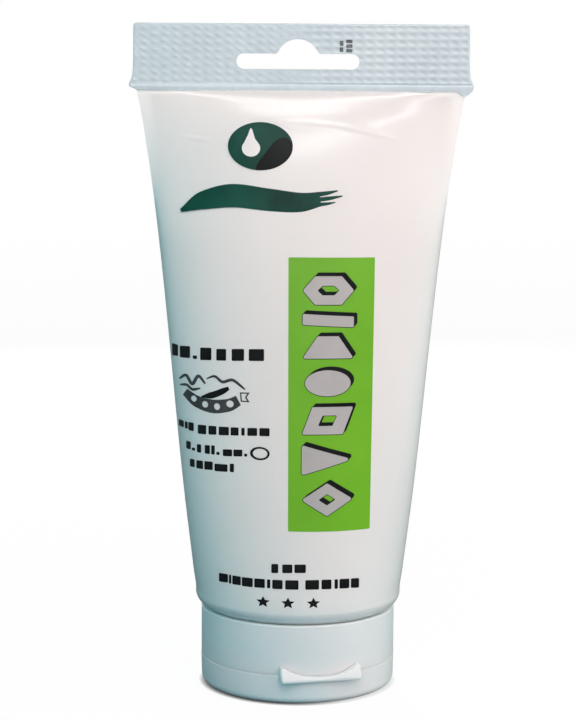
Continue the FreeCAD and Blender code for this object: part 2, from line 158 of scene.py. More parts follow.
def swell_front(x, z):
    """Hand-squeezed unevenness of the front wall, mm, positive outwards."""
    x, z = np.asarray(x, float), np.asarray(z, float)
    d = 0.050 * np.sin(0.11 * x + 0.7) * np.sin(0.075 * z + 0.4) + 0.030 * np.sin(0.21 * x - 0.045 * z + 1.9)
    d = d * smoothstep(22.0, 40.0, z) * (1 - smoothstep(112.0, 126.0, z))
    # fold where the flattened end begins
    zc = 123.55 - 0.0078 * np.clip(x + 1.0, 0, None) ** 2 - 0.006 * np.clip(-x - 3.0, 0, None) ** 2
    d = d + 0.185 * gauss(z - zc, 0.36) * smoothstep(-7.0, 2.0, x) * (1 - smoothstep(15.0, 22.5, x))
    d = d + 0.05 * gauss(z - zc + 1.2, 1.6) * smoothstep(-30.0, -10.0, x) * (1 - smoothstep(20.0, 32.0, x))
    d = d + 0.130 * gauss((x + 22.4) + 2.6 * (z - 119.9), 1.3) * gauss(z - 119.9, 0.36)
    # shallow dents low on the left, and a short crease
    d = d - 0.075 * gauss(x + 12.0, 2.6) * gauss(z - 42.6, 2.0) - 0.05 * gauss(x + 8.6, 1.3) * gauss(z - 38.9, 1.1)
    d = d + 0.05 * gauss(x + 15.8, 1.8) * gauss(z - 32.2 + 0.18 * (x + 16), 0.45)
    # fine upright puckers under the crimped band
    d = d + 0.020 * np.sin(2 * math.pi * x / 3.3 + 0.5 * np.sin(0.4 * x)) * np.exp(-(SEAL_Z0 - z) / 2.4)
    return d


def swell_back(x, z):
    x, z = np.asarray(x, float), np.asarray(z, float)
    d = 0.055 * np.sin(0.10 * x - 0.5) * np.sin(0.07 * z + 1.4) + 0.030 * np.sin(0.19 * x + 0.05 * z)
    d = d * smoothstep(22.0, 40.0, z) * (1 - smoothstep(112.0, 126.0, z))
    zc = 122.9 - 0.0065 * x ** 2
    d = d + 0.075 * gauss(z - zc, 0.55) * smoothstep(-24.0, -12.0, x) * (1 - smoothstep(9.0, 20.0, x))
    d = d - 0.06 * gauss(x - 9.0, 3.2) * gauss(z - 58.0, 2.6)
    d = d + 0.020 * np.sin(2 * math.pi * x / 3.1 + 0.6 * np.sin(0.33 * x)) * np.exp(-(SEAL_Z0 - z) / 2.4)
    return d


def wall(x, z, side):
    """y of the outside wall at (x, z); side -1 is the front."""
    a, b, w = A_OF(z), B_OF(z), crease(z)
    c = np.clip(np.asarray(x, float) / a, -1, 1)
    base = b * ((1 - w) * np.sqrt(np.clip(1 - c * c, 0, 1)) + w * (1 - c * c))
    swell = swell_front(x, z) if side < 0 else swell_back(x, z)
    return side * (base + swell * smoothstep(0.0, 0.35, 1 - c * c))


def front_normal(x, z):
    h = 0.05
    dx = (wall(x + h, z, -1) - wall(x - h, z, -1)) / (2 * h)
    dz = (wall(x, z + h, -1) - wall(x, z - h, -1)) / (2 * h)
    n = np.stack([dx, -np.ones_like(dx), dz], -1)
    return n / np.linalg.norm(n, axis=-1, keepdims=True)


# ------------------------------------------------------------------ mesh helpers
def new_object(name, verts, faces, mat=None, smooth=True, sharp=40.0, fix=True):
    me = bpy.data.meshes.new(name)
    me.from_pydata([tuple(v) for v in (np.asarray(verts, float) * MM)], [], [tuple(int(i) for i in f) for f in faces])
    me.validate()
    ob = bpy.data.objects.new(name, me)
    scene.collection.objects.link(ob)
    if fix:
        tidy(ob)
    if smooth:
        shade(ob, sharp)
    if mat:
        me.materials.append(mat)
    return ob


def tidy(ob, merge=None):
    bm = bmesh.new()
    bm.from_mesh(ob.data)
    if merge:
        bmesh.ops.remove_doubles(bm, verts=bm.verts, dist=merge * MM)
    bmesh.ops.recalc_face_normals(bm, faces=bm.faces)
    bm.to_mesh(ob.data)
    bm.free()


def shade(ob, sharp=40.0):
    bm = bmesh.new()
    bm.from_mesh(ob.data)
    limit = math.radians(sharp)
    for f in bm.faces:
        f.smooth = True
    for e in bm.edges:
        e.smooth = not (len(e.link_faces) == 2 and e.calc_face_angle(0.0) > limit)
    bm.to_mesh(ob.data)
    bm.free()


def boolean(ob, tool, operation="DIFFERENCE"):
    m = ob.modifiers.new("cut", "BOOLEAN")
    m.operation, m.object, m.solver = operation, tool, "EXACT"
    dg = bpy.context.evaluated_depsgraph_get()
    dg.update()
    me = bpy.data.meshes.new_from_object(ob.evaluated_get(dg), depsgraph=dg)
    ob.modifiers.remove(m)
    old = ob.data
    ob.data = me
    bpy.data.meshes.remove(old)
    bpy.data.objects.remove(tool)
    return ob


def rounded(points, radii, n=5):
    """A closed polygon with each corner rounded. radii is one number or one per point."""
    pts = [np.array(p, float) for p in points]
    k = len(pts)
    if not isinstance(radii, (list, tuple)):
        radii = [radii] * k
    out = []
    for i in range(k):
        p, a, b = pts[i], pts[i - 1], pts[(i + 1) % k]
        u, v = a - p, b - p
        lu, lv = np.linalg.norm(u), np.linalg.norm(v)
        r = radii[i]
        if r <= 0 or lu < 1e-9 or lv < 1e-9:
            out.append(tuple(p))
            continue
        u, v = u / lu, v / lv
        cosang = float(np.clip(u @ v, -1, 1))
        ang = math.acos(cosang)
        if ang > math.radians(172):
            out.append(tuple(p))
            continue
        t = min(r / math.tan(ang / 2), 0.48 * lu, 0.48 * lv)
        r = t * math.tan(ang / 2)
        bis = u + v
        bis = bis / np.linalg.norm(bis)
        c = p + bis * (r / math.sin(ang / 2))
        s, e = p + u * t - c, p + v * t - c
        a0, a1 = math.atan2(s[1], s[0]), math.atan2(e[1], e[0])
        da = (a1 - a0 + math.pi) % (2 * math.pi) - math.pi
        for q in range(n + 1):
            g = a0 + da * q / n
            out.append((c[0] + r * math.cos(g), c[1] + r * math.sin(g)))
    return out


def lathe(name, profile, seg=256, **kw):
    """A closed (r, z) profile turned about the Z axis. Points on the axis become single vertices."""
    verts, rows = [], []
    for r, z in profile:
        if r < 1e-6:
            rows.append([len(verts)])
            verts.append((0, 0, z))
        else:
            rows.append(list(range(len(verts), len(verts) + seg)))
            for i in range(seg):
                t = 2 * math.pi * i / seg
                verts.append((r * math.cos(t), r * math.sin(t), z))
    faces = []
    k = len(rows)
    for j in range(k):
        p, q = rows[j], rows[(j + 1) % k]
        if len(p) == 1 and len(q) == 1:
            continue
        for i in range(seg):
            i2 = (i + 1) % seg
            if len(p) == 1:
                faces.append((p[0], q[i2], q[i]))
            elif len(q) == 1:
                faces.append((p[i], p[i2], q[0]))
            else:
                faces.append((p[i], p[i2], q[i2], q[i]))
    return new_object(name, verts, faces, **kw)


def extruded(name, loop, axis, d0, d1):
    """A polygon (u, v) pushed along an axis: 'y' uses (x, z), 'x' uses (y, z), 'z' uses (x, y)."""
    place = {"y": lambda p, d: (p[0], d, p[1]), "x": lambda p, d: (d, p[0], p[1]), "z": lambda p, d: (p[0], p[1], d)}[axis]
    n = len(loop)
    verts = [place(p, d0) for p in loop] + [place(p, d1) for p in loop]
    faces = [tuple(range(n)), tuple(range(2 * n - 1, n - 1, -1))] + [(i, (i + 1) % n, n + (i + 1) % n, n + i) for i in range(n)]
    return new_object(name, verts, faces, smooth=False)


def sheet(name, front, back, **kw):
    """A closed slab between two grids of the same shape, (rows, cols, 3)."""
    r, c = front.shape[:2]
    verts = np.concatenate([front.reshape(-1, 3), back.reshape(-1, 3)])
    idx = np.arange(r * c).reshape(r, c)
    o = r * c
    faces = []
    a, b, d, e = idx[:-1, :-1].ravel(), idx[:-1, 1:].ravel(), idx[1:, 1:].ravel(), idx[1:, :-1].ravel()
    faces += list(zip(a, b, d, e))
    faces += list(zip(a + o, e + o, d + o, b + o))
    rim = list(idx[0, :]) + list(idx[1:, -1]) + list(idx[-1, :-1][::-1]) + list(idx[1:-1, 0][::-1])
    for i in range(len(rim)):
        p, q = rim[i], rim[(i + 1) % len(rim)]
        faces.append((p, p + o, q + o, q))
    return new_object(name, verts, faces, **kw)


# ------------------------------------------------------------------ materials
def material(name):
    m = bpy.data.materials.new(name)
    m.use_nodes = True
    nt = m.node_tree
    return m, nt, nt.nodes["Principled BSDF"]


def set_in(bsdf, **values):
    for k, v in values.items():
        k = k.replace("_", " ")
        if k in bsdf.inputs:
            bsdf.inputs[k].default_value = v


def plastic(name, dark, light, rough=(0.25, 0.35), scale=60.0, coat=0.0, coat_rough=0.1, sss=0.0, bump=0.0, bump_scale=900.0, ior=1.5, spec=0.5):
    m, nt, b = material(name)
    tc = nt.nodes.new("ShaderNodeTexCoord")
    n1 = nt.nodes.new("ShaderNodeTexNoise")
    n1.inputs["Scale"].default_value = scale
    n1.inputs["Detail"].default_value = 3.0
    nt.links.new(tc.outputs["Object"], n1.inputs["Vector"])
    ramp = nt.nodes.new("ShaderNodeValToRGB")
    ramp.color_ramp.elements[0].position, ramp.color_ramp.elements[1].position = 0.3, 0.7
    ramp.color_ramp.elements[0].color = (*dark, 1)
    ramp.color_ramp.elements[1].color = (*light, 1)
    nt.links.new(n1.outputs["Fac"], ramp.inputs["Fac"])
    nt.links.new(ramp.outputs["Color"], b.inputs["Base Color"])
    mr = nt.nodes.new("ShaderNodeMapRange")
    mr.inputs["To Min"].default_value, mr.inputs["To Max"].default_value = rough
    n2 = nt.nodes.new("ShaderNodeTexNoise")
    n2.inputs["Scale"].default_value = scale * 2.3
    nt.links.new(tc.outputs["Object"], n2.inputs["Vector"])
    nt.links.new(n2.outputs["Fac"], mr.inputs["Value"])
    nt.links.new(mr.outputs["Result"], b.inputs["Roughness"])
    set_in(b, IOR=ior, Coat_Weight=coat, Coat_Roughness=coat_rough, Specular_IOR_Level=spec)
    if sss:
        set_in(b, Subsurface_Weight=sss, Subsurface_Scale=0.0022, Subsurface_Radius=(1.0, 1.0, 1.0))
    if bump:
        n3 = nt.nodes.new("ShaderNodeTexNoise")
        n3.inputs["Scale"].default_value = bump_scale
        nt.links.new(tc.outputs["Object"], n3.inputs["Vector"])
        bp = nt.nodes.new("ShaderNodeBump")
        bp.inputs["Strength"].default_value = bump
        bp.inputs["Distance"].default_value = 0.0001
        nt.links.new(n3.outputs["Fac"], bp.inputs["Height"])
        nt.links.new(bp.outputs["Normal"], b.inputs["Normal"])
    return m


SLEEVE_MAT = plastic("sleeve_plastic", (0.905, 0.890, 0.885), (0.935, 0.920, 0.915), rough=(0.22, 0.29), scale=35.0, coat=0.20, coat_rough=0.12, sss=0.30, bump=0.04)
# The seal's blue-grey, darker than the sleeve, is partly the tint of the clear pressed band and partly painted shade on
# the band.
SEAL_MAT = plastic("seal_plastic", (0.575, 0.69, 0.75), (0.63, 0.75, 0.80), rough=(0.22, 0.32), scale=90.0, coat=0.2, coat_rough=0.15, bump=0.05)
CAP_MAT = plastic("cap_plastic", (0.80, 0.81, 0.82), (0.83, 0.84, 0.85), rough=(0.36, 0.44), scale=70.0, sss=0.35, bump=0.08, bump_scale=1400.0)
HEAD_MAT = plastic("head_plastic", (0.80, 0.80, 0.79), (0.85, 0.85, 0.84), rough=(0.30, 0.42), scale=80.0, bump=0.05)
LINER_MAT = plastic("liner_foam", (0.72, 0.73, 0.73), (0.84, 0.85, 0.85), rough=(0.75, 0.9), scale=900.0, bump=0.4, bump_scale=2600.0)
PAINT_MAT = plastic("paint", (0.86, 0.86, 0.85), (0.90, 0.90, 0.89), rough=(0.18, 0.30), scale=50.0, coat=0.3, bump=0.15, bump_scale=300.0)
INK_BLACK = plastic("ink_black", (0.004, 0.006, 0.007), (0.010, 0.013, 0.014), rough=(0.34, 0.44), scale=160.0, spec=0.20)
INK_GREEN = plastic("ink_green", (0.150, 0.460, 0.018), (0.180, 0.510, 0.024), rough=(0.34, 0.42), scale=60.0, spec=0.28)
INK_DARK_GREEN = plastic("ink_dark_green", (0.002, 0.050, 0.036), (0.006, 0.090, 0.064), rough=(0.32, 0.42), scale=110.0, spec=0.20)
INK_SILVER = plastic("ink_silver", (0.44, 0.43, 0.43), (0.50, 0.49, 0.49), rough=(0.30, 0.40), scale=110.0)
INK_WHITE = plastic("ink_white", (0.82, 0.81, 0.81), (0.88, 0.87, 0.87), rough=(0.26, 0.34), scale=120.0)
INK_GREY = plastic("ink_grey", (0.030, 0.036, 0.040), (0.060, 0.068, 0.072), rough=(0.34, 0.44), scale=200.0)


def foil_material():
    m, nt, b = material("foil")
    tc = nt.nodes.new("ShaderNodeTexCoord")
    n = nt.nodes.new("ShaderNodeTexNoise")
    n.inputs["Scale"].default_value = 420.0
    n.inputs["Detail"].default_value = 4.0
    nt.links.new(tc.outputs["Object"], n.inputs["Vector"])
    bp = nt.nodes.new("ShaderNodeBump")
    bp.inputs["Strength"].default_value = 0.5
    bp.inputs["Distance"].default_value = 0.0002
    nt.links.new(n.outputs["Fac"], bp.inputs["Height"])
    nt.links.new(bp.outputs["Normal"], b.inputs["Normal"])
    r = nt.nodes.new("ShaderNodeValToRGB")
    r.color_ramp.elements[0].color = (0.62, 0.63, 0.64, 1)
    r.color_ramp.elements[1].color = (0.80, 0.80, 0.80, 1)
    nt.links.new(n.outputs["Fac"], r.inputs["Fac"])
    nt.links.new(r.outputs["Color"], b.inputs["Base Color"])
    set_in(b, Metallic=0.9, Roughness=0.32)
    return m


FOIL_MAT = foil_material()

# ------------------------------------------------------------------ sleeve
HALF = 170          # samples along the front, and along the back


def ring_params(z):
    """c and the height share s for each sample round the section, at heights z (rows)."""
    w = crease(z)[:, None]
    t = np.arange(HALF + 1) / HALF
    t = t[None, :]
    cosv, sinv = np.cos(math.pi * t), np.sin(math.pi * t)
    c = (1 - w) * cosv + w * (1 - 2 * t)
    s = (1 - w) * sinv + w * (1 - c * c)
    s[:, 0] = 0
    s[:, -1] = 0
    return c, s


def sleeve_rows(zs, offset=0.0, swell=True):
    zs = np.asarray(zs, float)
    a = A_OF(zs) - offset - 5 * offset * crease(zs)
    b = np.maximum(B_OF(zs) - offset, 0.25)
    c, s = ring_params(zs)
    x = a[:, None] * c
    z = np.repeat(zs[:, None], HALF + 1, 1)
    fade = smoothstep(0.0, 0.35, 1 - c * c)
    front = b[:, None] * s + (swell_front(x, z) * fade if swell else 0)
    back = b[:, None] * s + (swell_back(x, z) * fade if swell else 0)
    f = np.stack([x, -front, z], -1)
    k = np.stack([x, back, z], -1)[:, 1:-1][:, ::-1]
    return np.concatenate([f, k], 1)          # rows x (2*HALF) x 3


def circle_rows(rz):
    t = np.arange(HALF + 1) / HALF
    ang = np.concatenate([-math.pi * t, -math.pi - math.pi * t[1:-1]])
    return np.array([[(r * math.cos(g), r * math.sin(g), z) for g in ang] for r, z in rz])


def build_sleeve():
    arc_r, arc_z, rad, rad_in, hole = 19.30, 20.70, 3.25, 2.83, 20.15
    rz = []
    for i in range(18):
        t = math.asin((hole - arc_r) / rad) + (math.pi / 2 - math.asin((hole - arc_r) / rad)) * i / 17
        rz.append((min(22.5, arc_r + rad * math.sin(t)), arc_z - rad * math.cos(t)))
    # soften the rim of the hole
    r0, z0 = rz[0]
    outer_low = circle_rows([(r0, z0 + 0.12), (r0 + 0.04, z0 + 0.04)] + rz[1:])
    zs = list(np.concatenate([np.arange(21.0, 118.0, 0.55), np.arange(118.0, 126.5, 0.22), np.arange(126.5, SEAL_Z0, 0.16), [SEAL_Z0]]))
    outer = np.concatenate([outer_low, sleeve_rows(zs)])
    inner_low = []
    t0 = math.asin((hole - arc_r) / rad_in)
    for i in range(10):
        t = t0 + (math.pi / 2 - t0) * i / 9
        inner_low.append((min(22.0, arc_r + rad_in * math.sin(t)), arc_z - rad_in * math.cos(t)))
    zi = list(np.concatenate([np.arange(21.2, 126.0, 2.2), np.arange(126.0, 129.0, 0.5), [129.0]]))
    inner = np.concatenate([circle_rows(inner_low), sleeve_rows(zi, 0.5, False)])
    stack = np.concatenate([outer[::-1], inner])
    rows, n = stack.shape[:2]
    verts = stack.reshape(-1, 3)
    faces = []
    idx = np.arange(rows * n).reshape(rows, n)
    nxt = np.roll(idx, -1, 1)
    faces += list(zip(idx[:-1].ravel(), nxt[:-1].ravel(), nxt[1:].ravel(), idx[1:].ravel()))
    for row in (0, rows - 1):                 # close the flattened ends, front to back
        r = idx[row]
        for i in range(HALF):
            f0, f1 = r[i], r[i + 1]
            b0, b1 = r[(2 * HALF - i) % (2 * HALF)], r[2 * HALF - i - 1]
            q = [f0, f1, b1, b0]
            if i == 0:
                q = [f0, f1, b1]
            elif i == HALF - 1:
                q = [f0, f1, b0]
            faces.append(tuple(q))
    return new_object("tube_sleeve", verts, faces, SLEEVE_MAT, sharp=55.0)


sleeve = build_sleeve()
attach(sleeve, "tube")
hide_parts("sleeve")

# ------------------------------------------------------------------ crimped band
BAND_HALF = Smooth([(SEAL_Z0, 35.40), (130.35, 36.05), (130.70, 36.85), (131.05, 37.0), (131.55, 36.92), (132.2, 36.6), (133.2, 36.3), (135.0, 36.14), (143.4, 36.0), (144.0, 35.9), (TOP_Z, 35.55)])
CELL_X, CELL_Z, WAFFLE_Z0 = 2.29, 1.60, 131.50


def band_half_thickness(x, z, side):
    """Half-thickness of the band with its pressed waffle of pillows, mm."""
    hw = BAND_HALF(z)
    u = x / CELL_X + 0.18 + 0.02 * np.sin(0.35 * z)
    v = (z - WAFFLE_Z0) / CELL_Z
    du, dv = (u - np.floor(u)) - 0.5, (v - np.floor(v)) - 0.5
    if side > 0:
        du = -du
    wander = 0.05 * np.sin(0.8 * x + 1.3 * z) + 0.04 * np.sin(2.1 * z - 0.5 * x)
    # right half: square dimples between level ridges; left half: low slanting bumps
    dimple = np.exp(-(np.abs((du + 0.10 * dv + wander) / 0.29) ** 3.0 + np.abs(dv / 0.30) ** 3.0))
    ridge = 0.5 + 0.5 * np.cos(2 * math.pi * (dv + 0.5))
    squares = 0.480 + 0.070 * ridge - 0.150 * dimple
    eu, ev = du + wander + 0.06, dv + 0.10 * np.sin(0.9 * x + 0.4 * z)
    bump = np.exp(-(((eu + 0.38 * ev) / 0.29) ** 2 + (ev / 0.27) ** 2))
    bumps = 0.400 + 0.170 * bump + 0.012 * ridge
    right = smoothstep(-9.0, 7.0, x)
    h = bumps + (squares - bumps) * right + 0.006 * np.sin(1.7 * x) * np.sin(2.3 * z)
    inside = smoothstep(WAFFLE_Z0 - 0.02, WAFFLE_Z0 + 0.22, z) * (1 - smoothstep(TOP_Z - 0.40, TOP_Z - 0.12, z)) * (1 - smoothstep(0.0, 0.55, np.abs(x) - (hw - 0.75)))
    plain = 0.44
    h = plain + (h - plain) * inside
    bead = np.sqrt(np.clip(1 - ((z - 130.72) / 0.60) ** 2, 0, 1))
    crisp = smoothstep(-16.0, 3.0, x)          # the groove over the bead is only pressed in on the right
    strip = 0.33 + 0.30 * bead + 0.26 * (1 - smoothstep(SEAL_Z0, SEAL_Z0 + 0.18, z))
    merged = np.where(z > 130.72, 0.63 - 0.16 * smoothstep(130.72, WAFFLE_Z0, z), strip)
    h = np.where(z < WAFFLE_Z0, merged + (strip - merged) * crisp, h)
    groove = np.minimum(h, 0.34 + 0.16 * np.abs((z - WAFFLE_Z0 + 0.03) / 0.25) ** 1.5)
    h = np.where((z >= WAFFLE_Z0 - 0.25) & (z < WAFFLE_Z0 + 0.25), h + (groove - h) * crisp, h)
    edge = np.clip((hw - np.abs(x)) / 0.32, 0, 1)
    h = h * (0.42 + 0.58 * np.sqrt(np.clip(1 - (1 - edge) ** 2, 0, 1)))
    top = np.clip((TOP_Z - z) / 0.28, 0, 1)
    return h * (0.45 + 0.55 * np.sqrt(np.clip(1 - (1 - top) ** 2, 0, 1)))


def build_band():
    zs = np.concatenate([np.arange(SEAL_Z0, 132.0, 0.07), np.arange(132.0, TOP_Z - 0.35, 0.145), np.linspace(TOP_Z - 0.35, TOP_Z, 8)])
    k = 190
    u = np.linspace(-1, 1, 2 * k + 1)
    u = np.concatenate([[-1.0, -0.9985, -0.996, -0.9925], u[2:-2], [0.9925, 0.996, 0.9985, 1.0]])
    x = BAND_HALF(zs)[:, None] * u[None, :]
    z = np.repeat(zs[:, None], len(u), 1)
    # a small tab of flash hangs under the right-hand ear
    low = 1 - smoothstep(SEAL_Z0, 131.0, z)
    zt = z - low * (1.05 * smoothstep(33.6, 34.9, x) + (0.13 + 0.08 * np.sin(0.75 * x + 0.8) + 0.05 * np.sin(1.9 * x)) * (1 - smoothstep(30.0, 33.6, np.abs(x))))
    f = np.stack([x, -band_half_thickness(x, z, -1), zt], -1)
    b = np.stack([x, band_half_thickness(x, z, 1), zt], -1)
    ob = sheet("crimp_band", f, b, smooth=False)
    x0, x1, z0, z1 = -13.95, 12.45, 134.60, 137.90
    cx, half, top = -0.75, 4.4, 141.0
    r = (z1 - z0) / 2
    rise = top - z1
    dr = (half ** 2 + rise ** 2) / (2 * rise)
    loop = []
    for i in range(25):
        g = -math.pi / 2 + math.pi * i / 24
        loop.append((x1 - r + r * math.cos(g), z0 + r + r * math.sin(g)))
    g0 = math.asin(half / dr)
    dome = [(cx + dr * math.sin(g0 - 2 * g0 * i / 30), top - dr + dr * math.cos(g0 - 2 * g0 * i / 30)) for i in range(31)]
    dome[0] = (cx + half + 0.28, z1)
    dome[-1] = (cx - half - 0.28, z1)
    loop += dome
    for i in range(25):
        g = math.pi / 2 + math.pi * i / 24
        loop.append((x0 + r + r * math.cos(g), z0 + r + r * math.sin(g)))
    boolean(ob, extruded("cutter", loop, "y", -3, 3))
    tidy(ob, 0.002)
    shade(ob, 50.0)
    ob.data.materials.clear()
    ob.data.materials.append(SEAL_MAT)
    return ob


band = build_band()
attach(band, "tube")
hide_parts("end_seal")


# ------------------------------------------------------------------ print: closed films of ink that follow the front wall
def arc_lines():
    """x positions of the cuts: even steps round the section, so that films stay close to the wall at the sides."""
    return [28.0 * math.sin(math.radians(a)) for a in range(-88, 89, 2)]


def film(name, shapes, mat, lift, step_z=1.4, depth=0.03, lines=None, surface=None):
    """shapes: list of [outer loop, hole, ...] in (x, z) mm. Makes one closed film, lifted off the wall by lift."""
    bm = bmesh.new()
    for shape in shapes:
        coords = [Vector((p[0], p[1], 0)) for loop in shape for p in loop]
        vs = [bm.verts.new(c) for c in coords]
        for tri in tessellate_polygon([[Vector((p[0], p[1], 0)) for p in loop] for loop in shape]):
            try:
                bm.faces.new([vs[i] for i in tri])
            except ValueError:
                pass
    xs = [v.co.x for v in bm.verts]
    zs = [v.co.y for v in bm.verts]
    for x in (lines or arc_lines()):
        if min(xs) + 1e-4 < x < max(xs) - 1e-4:
            bmesh.ops.bisect_plane(bm, geom=bm.verts[:] + bm.edges[:] + bm.faces[:], dist=1e-6, plane_co=(x, 0, 0), plane_no=(1, 0, 0))
    z = math.ceil(min(zs) / step_z) * step_z
    while z < max(zs) - 1e-4:
        if z > min(zs) + 1e-4:
            bmesh.ops.bisect_plane(bm, geom=bm.verts[:] + bm.edges[:] + bm.faces[:], dist=1e-6, plane_co=(0, z, 0), plane_no=(0, 1, 0))
        z += step_z
    bmesh.ops.remove_doubles(bm, verts=bm.verts, dist=1e-5)
    bm.verts.ensure_lookup_table()
    bm.verts.index_update()
    p = np.array([(v.co.x, v.co.y) for v in bm.verts], float)
    faces = []
    for f in bm.faces:
        ids = [v.index for v in f.verts]
        a = sum(p[ids[i - 1]][0] * p[ids[i]][1] - p[ids[i]][0] * p[ids[i - 1]][1] for i in range(len(ids)))
        faces.append(ids if a > 0 else ids[::-1])      # counter-clockwise in (x, z): faces the front
    edge_use = {}
    for ids in faces:
        for i in range(len(ids)):
            e = (ids[i - 1], ids[i])
            edge_use[e] = edge_use.get(e, 0) + 1
    bm.free()
    if surface is None:
        y, n = wall(p[:, 0], p[:, 1], -1), front_normal(p[:, 0], p[:, 1])
    else:
        y, n = surface(p[:, 0], p[:, 1]), np.repeat([[0.0, -1.0, 0.0]], len(p), 0)
    base = np.stack([p[:, 0], y, p[:, 1]], -1)
    o = len(p)
    verts = np.concatenate([base + n * lift, base - n * depth])
    out = [tuple(f) for f in faces] + [tuple(i + o for i in f[::-1]) for f in faces]
    for a, b in edge_use:
        if (b, a) not in edge_use:
            out.append((a, a + o, b + o, b))
    ob = new_object(name, verts, out, mat, smooth=True, sharp=35.0, fix=False)
    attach(ob, "tube")
    return ob


def ellipse(cx, cz, rx, rz, n=64, tilt=0.0):
    t = math.radians(tilt)
    out = []
    for i in range(n):
        g = 2 * math.pi * i / n
        x, z = rx * math.cos(g), rz * math.sin(g)
        out.append((cx + x * math.cos(t) - z * math.sin(t), cz + x * math.sin(t) + z * math.cos(t)))
    return out


def grow(loop, d):
    """A polygon moved outwards by d (mitred)."""
    n = len(loop)
    area = sum(loop[i - 1][0] * loop[i][1] - loop[i][0] * loop[i - 1][1] for i in range(n))
    s = 1 if area > 0 else -1
    out = []
    for i in range(n):
        p0, p, p1 = np.array(loop[i - 1]), np.array(loop[i]), np.array(loop[(i + 1) % n])
        u, v = p - p0, p1 - p
        u, v = u / (np.linalg.norm(u) + 1e-12), v / (np.linalg.norm(v) + 1e-12)
        nu, nv = np.array([u[1], -u[0]]) * s, np.array([v[1], -v[0]]) * s
        m = nu + nv
        m = m / (np.linalg.norm(m) + 1e-12)
        out.append(tuple(p + m * d / max(0.35, float(m @ nu))))
    return out


def hull(points):
    ids = convex_hull_2d([Vector(p) for p in points])
    return [points[i] for i in ids]


def stroke(path, widths, n=80):
    """A painted stroke along a path of (x, z) points with a width at each."""
    t = np.linspace(0, 1, len(path))
    tt = np.linspace(0, 1, n)
    sx, sz, sw = Smooth(list(zip(t, [p[0] for p in path]))), Smooth(list(zip(t, [p[1] for p in path]))), Smooth(list(zip(t, widths)))
    x, z, w = sx(tt), sz(tt), sw(tt)
    for _ in range(3):
        x[1:-1] = (x[:-2] + 2 * x[1:-1] + x[2:]) / 4
        z[1:-1] = (z[:-2] + 2 * z[1:-1] + z[2:]) / 4
    dx, dz = np.gradient(x), np.gradient(z)
    L = np.hypot(dx, dz) + 1e-9
    nx, nz = -dz / L, dx / L
    up = [(x[i] + nx[i] * w[i] / 2, z[i] + nz[i] * w[i] / 2) for i in range(n)]
    dn = [(x[i] - nx[i] * w[i] / 2, z[i] - nz[i] * w[i] / 2) for i in range(n)]
    return up + dn[::-1]


def quads(rows, r=0.16, shrink=0.0):
    """Plain blocks from (x0, z0, x1, z1, z2, z3): corners low left, low right, high right, high left."""
    return [[rounded([(x0 + shrink, a), (x1 - shrink, b), (x1 - shrink, c), (x0 + shrink, d)], min(r, (x1 - x0) * 0.3), 3)] for x0, x1, a, b, c, d in rows]


def clip_convex(poly, tool):
    """The part of a convex polygon inside another (both counter-clockwise)."""
    out = list(poly)
    for i in range(len(tool)):
        a, b = tool[i - 1], tool[i]
        src, out = out, []
        for k in range(len(src)):
            p, q = src[k - 1], src[k]
            sp = (b[0] - a[0]) * (p[1] - a[1]) - (b[1] - a[1]) * (p[0] - a[0])
            sq = (b[0] - a[0]) * (q[1] - a[1]) - (b[1] - a[1]) * (q[0] - a[0])
            if (sp >= 0) != (sq >= 0):
                t = sp / (sp - sq)
                out.append((p[0] + (q[0] - p[0]) * t, p[1] + (q[1] - p[1]) * t))
            if sq >= 0:
                out.append(q)
    return out


def ccw(loop):
    area = sum(loop[i - 1][0] * loop[i][1] - loop[i][0] * loop[i - 1][1] for i in range(len(loop)))
    return loop if area > 0 else loop[::-1]


# ---- green panel with seven plain shapes in a column, each with a thin outline and a hard shadow up and to the right
film("print_panel", [[rounded([(-2.16, 37.76), (15.25, 37.59), (15.91, 95.36), (-2.46, 95.44)], 0.25, 3)]], INK_GREEN, 0.030)
P0, P1 = 0.62, 11.50
PM = (P0 + P1) / 2
shapes = [
    # outer loop, hole or None, top of the column first
    (rounded([(P0, 88.5), (P0 + 2.6, 85.5), (P1 - 2.6, 85.5), (P1, 88.5), (P1 - 2.6, 91.5), (P0 + 2.6, 91.5)], 0.4, 3),
     rounded([(P0 + 3.1, 88.5), (P0 + 4.2, 87.5), (P1 - 4.2, 87.5), (P1 - 3.1, 88.5), (P1 - 4.2, 89.5), (P0 + 4.2, 89.5)], 0.2, 2)),
    (rounded([(P0, 81.3), (P1, 80.7), (P1, 83.0), (P0, 83.6)], 0.25, 2), None),
    (rounded([(P0, 74.2), (P1, 74.2), (P1 - 3.2, 78.9), (P0 + 3.2, 78.9)], 0.3, 3), None),
    (ellipse(PM, 69.0, (P1 - P0) / 2 - 0.6, 2.75, 48), None),
    (rounded([(P0, 58.2), (P1 - 2.2, 58.2), (P1, 64.0), (P0 + 2.2, 64.0)], 0.3, 3),
     rounded([(P0 + 3.4, 60.0), (P1 - 4.4, 60.0), (P1 - 3.4, 62.2), (P0 + 4.4, 62.2)], 0.2, 2)),
    (rounded([(P0, 49.6), (P1, 52.8), (P0, 56.0)], 0.4, 3), None),
    (rounded([(PM, 40.9), (P1, 44.4), (PM, 47.9), (P0, 44.4)], 0.4, 3),
     rounded([(PM, 43.2), (P1 - 3.6, 44.4), (PM, 45.6), (P0 + 3.6, 44.4)], 0.2, 2)),
]
DX, DZ = 0.66, 0.72
silver, outline_, shadow = [], [], []
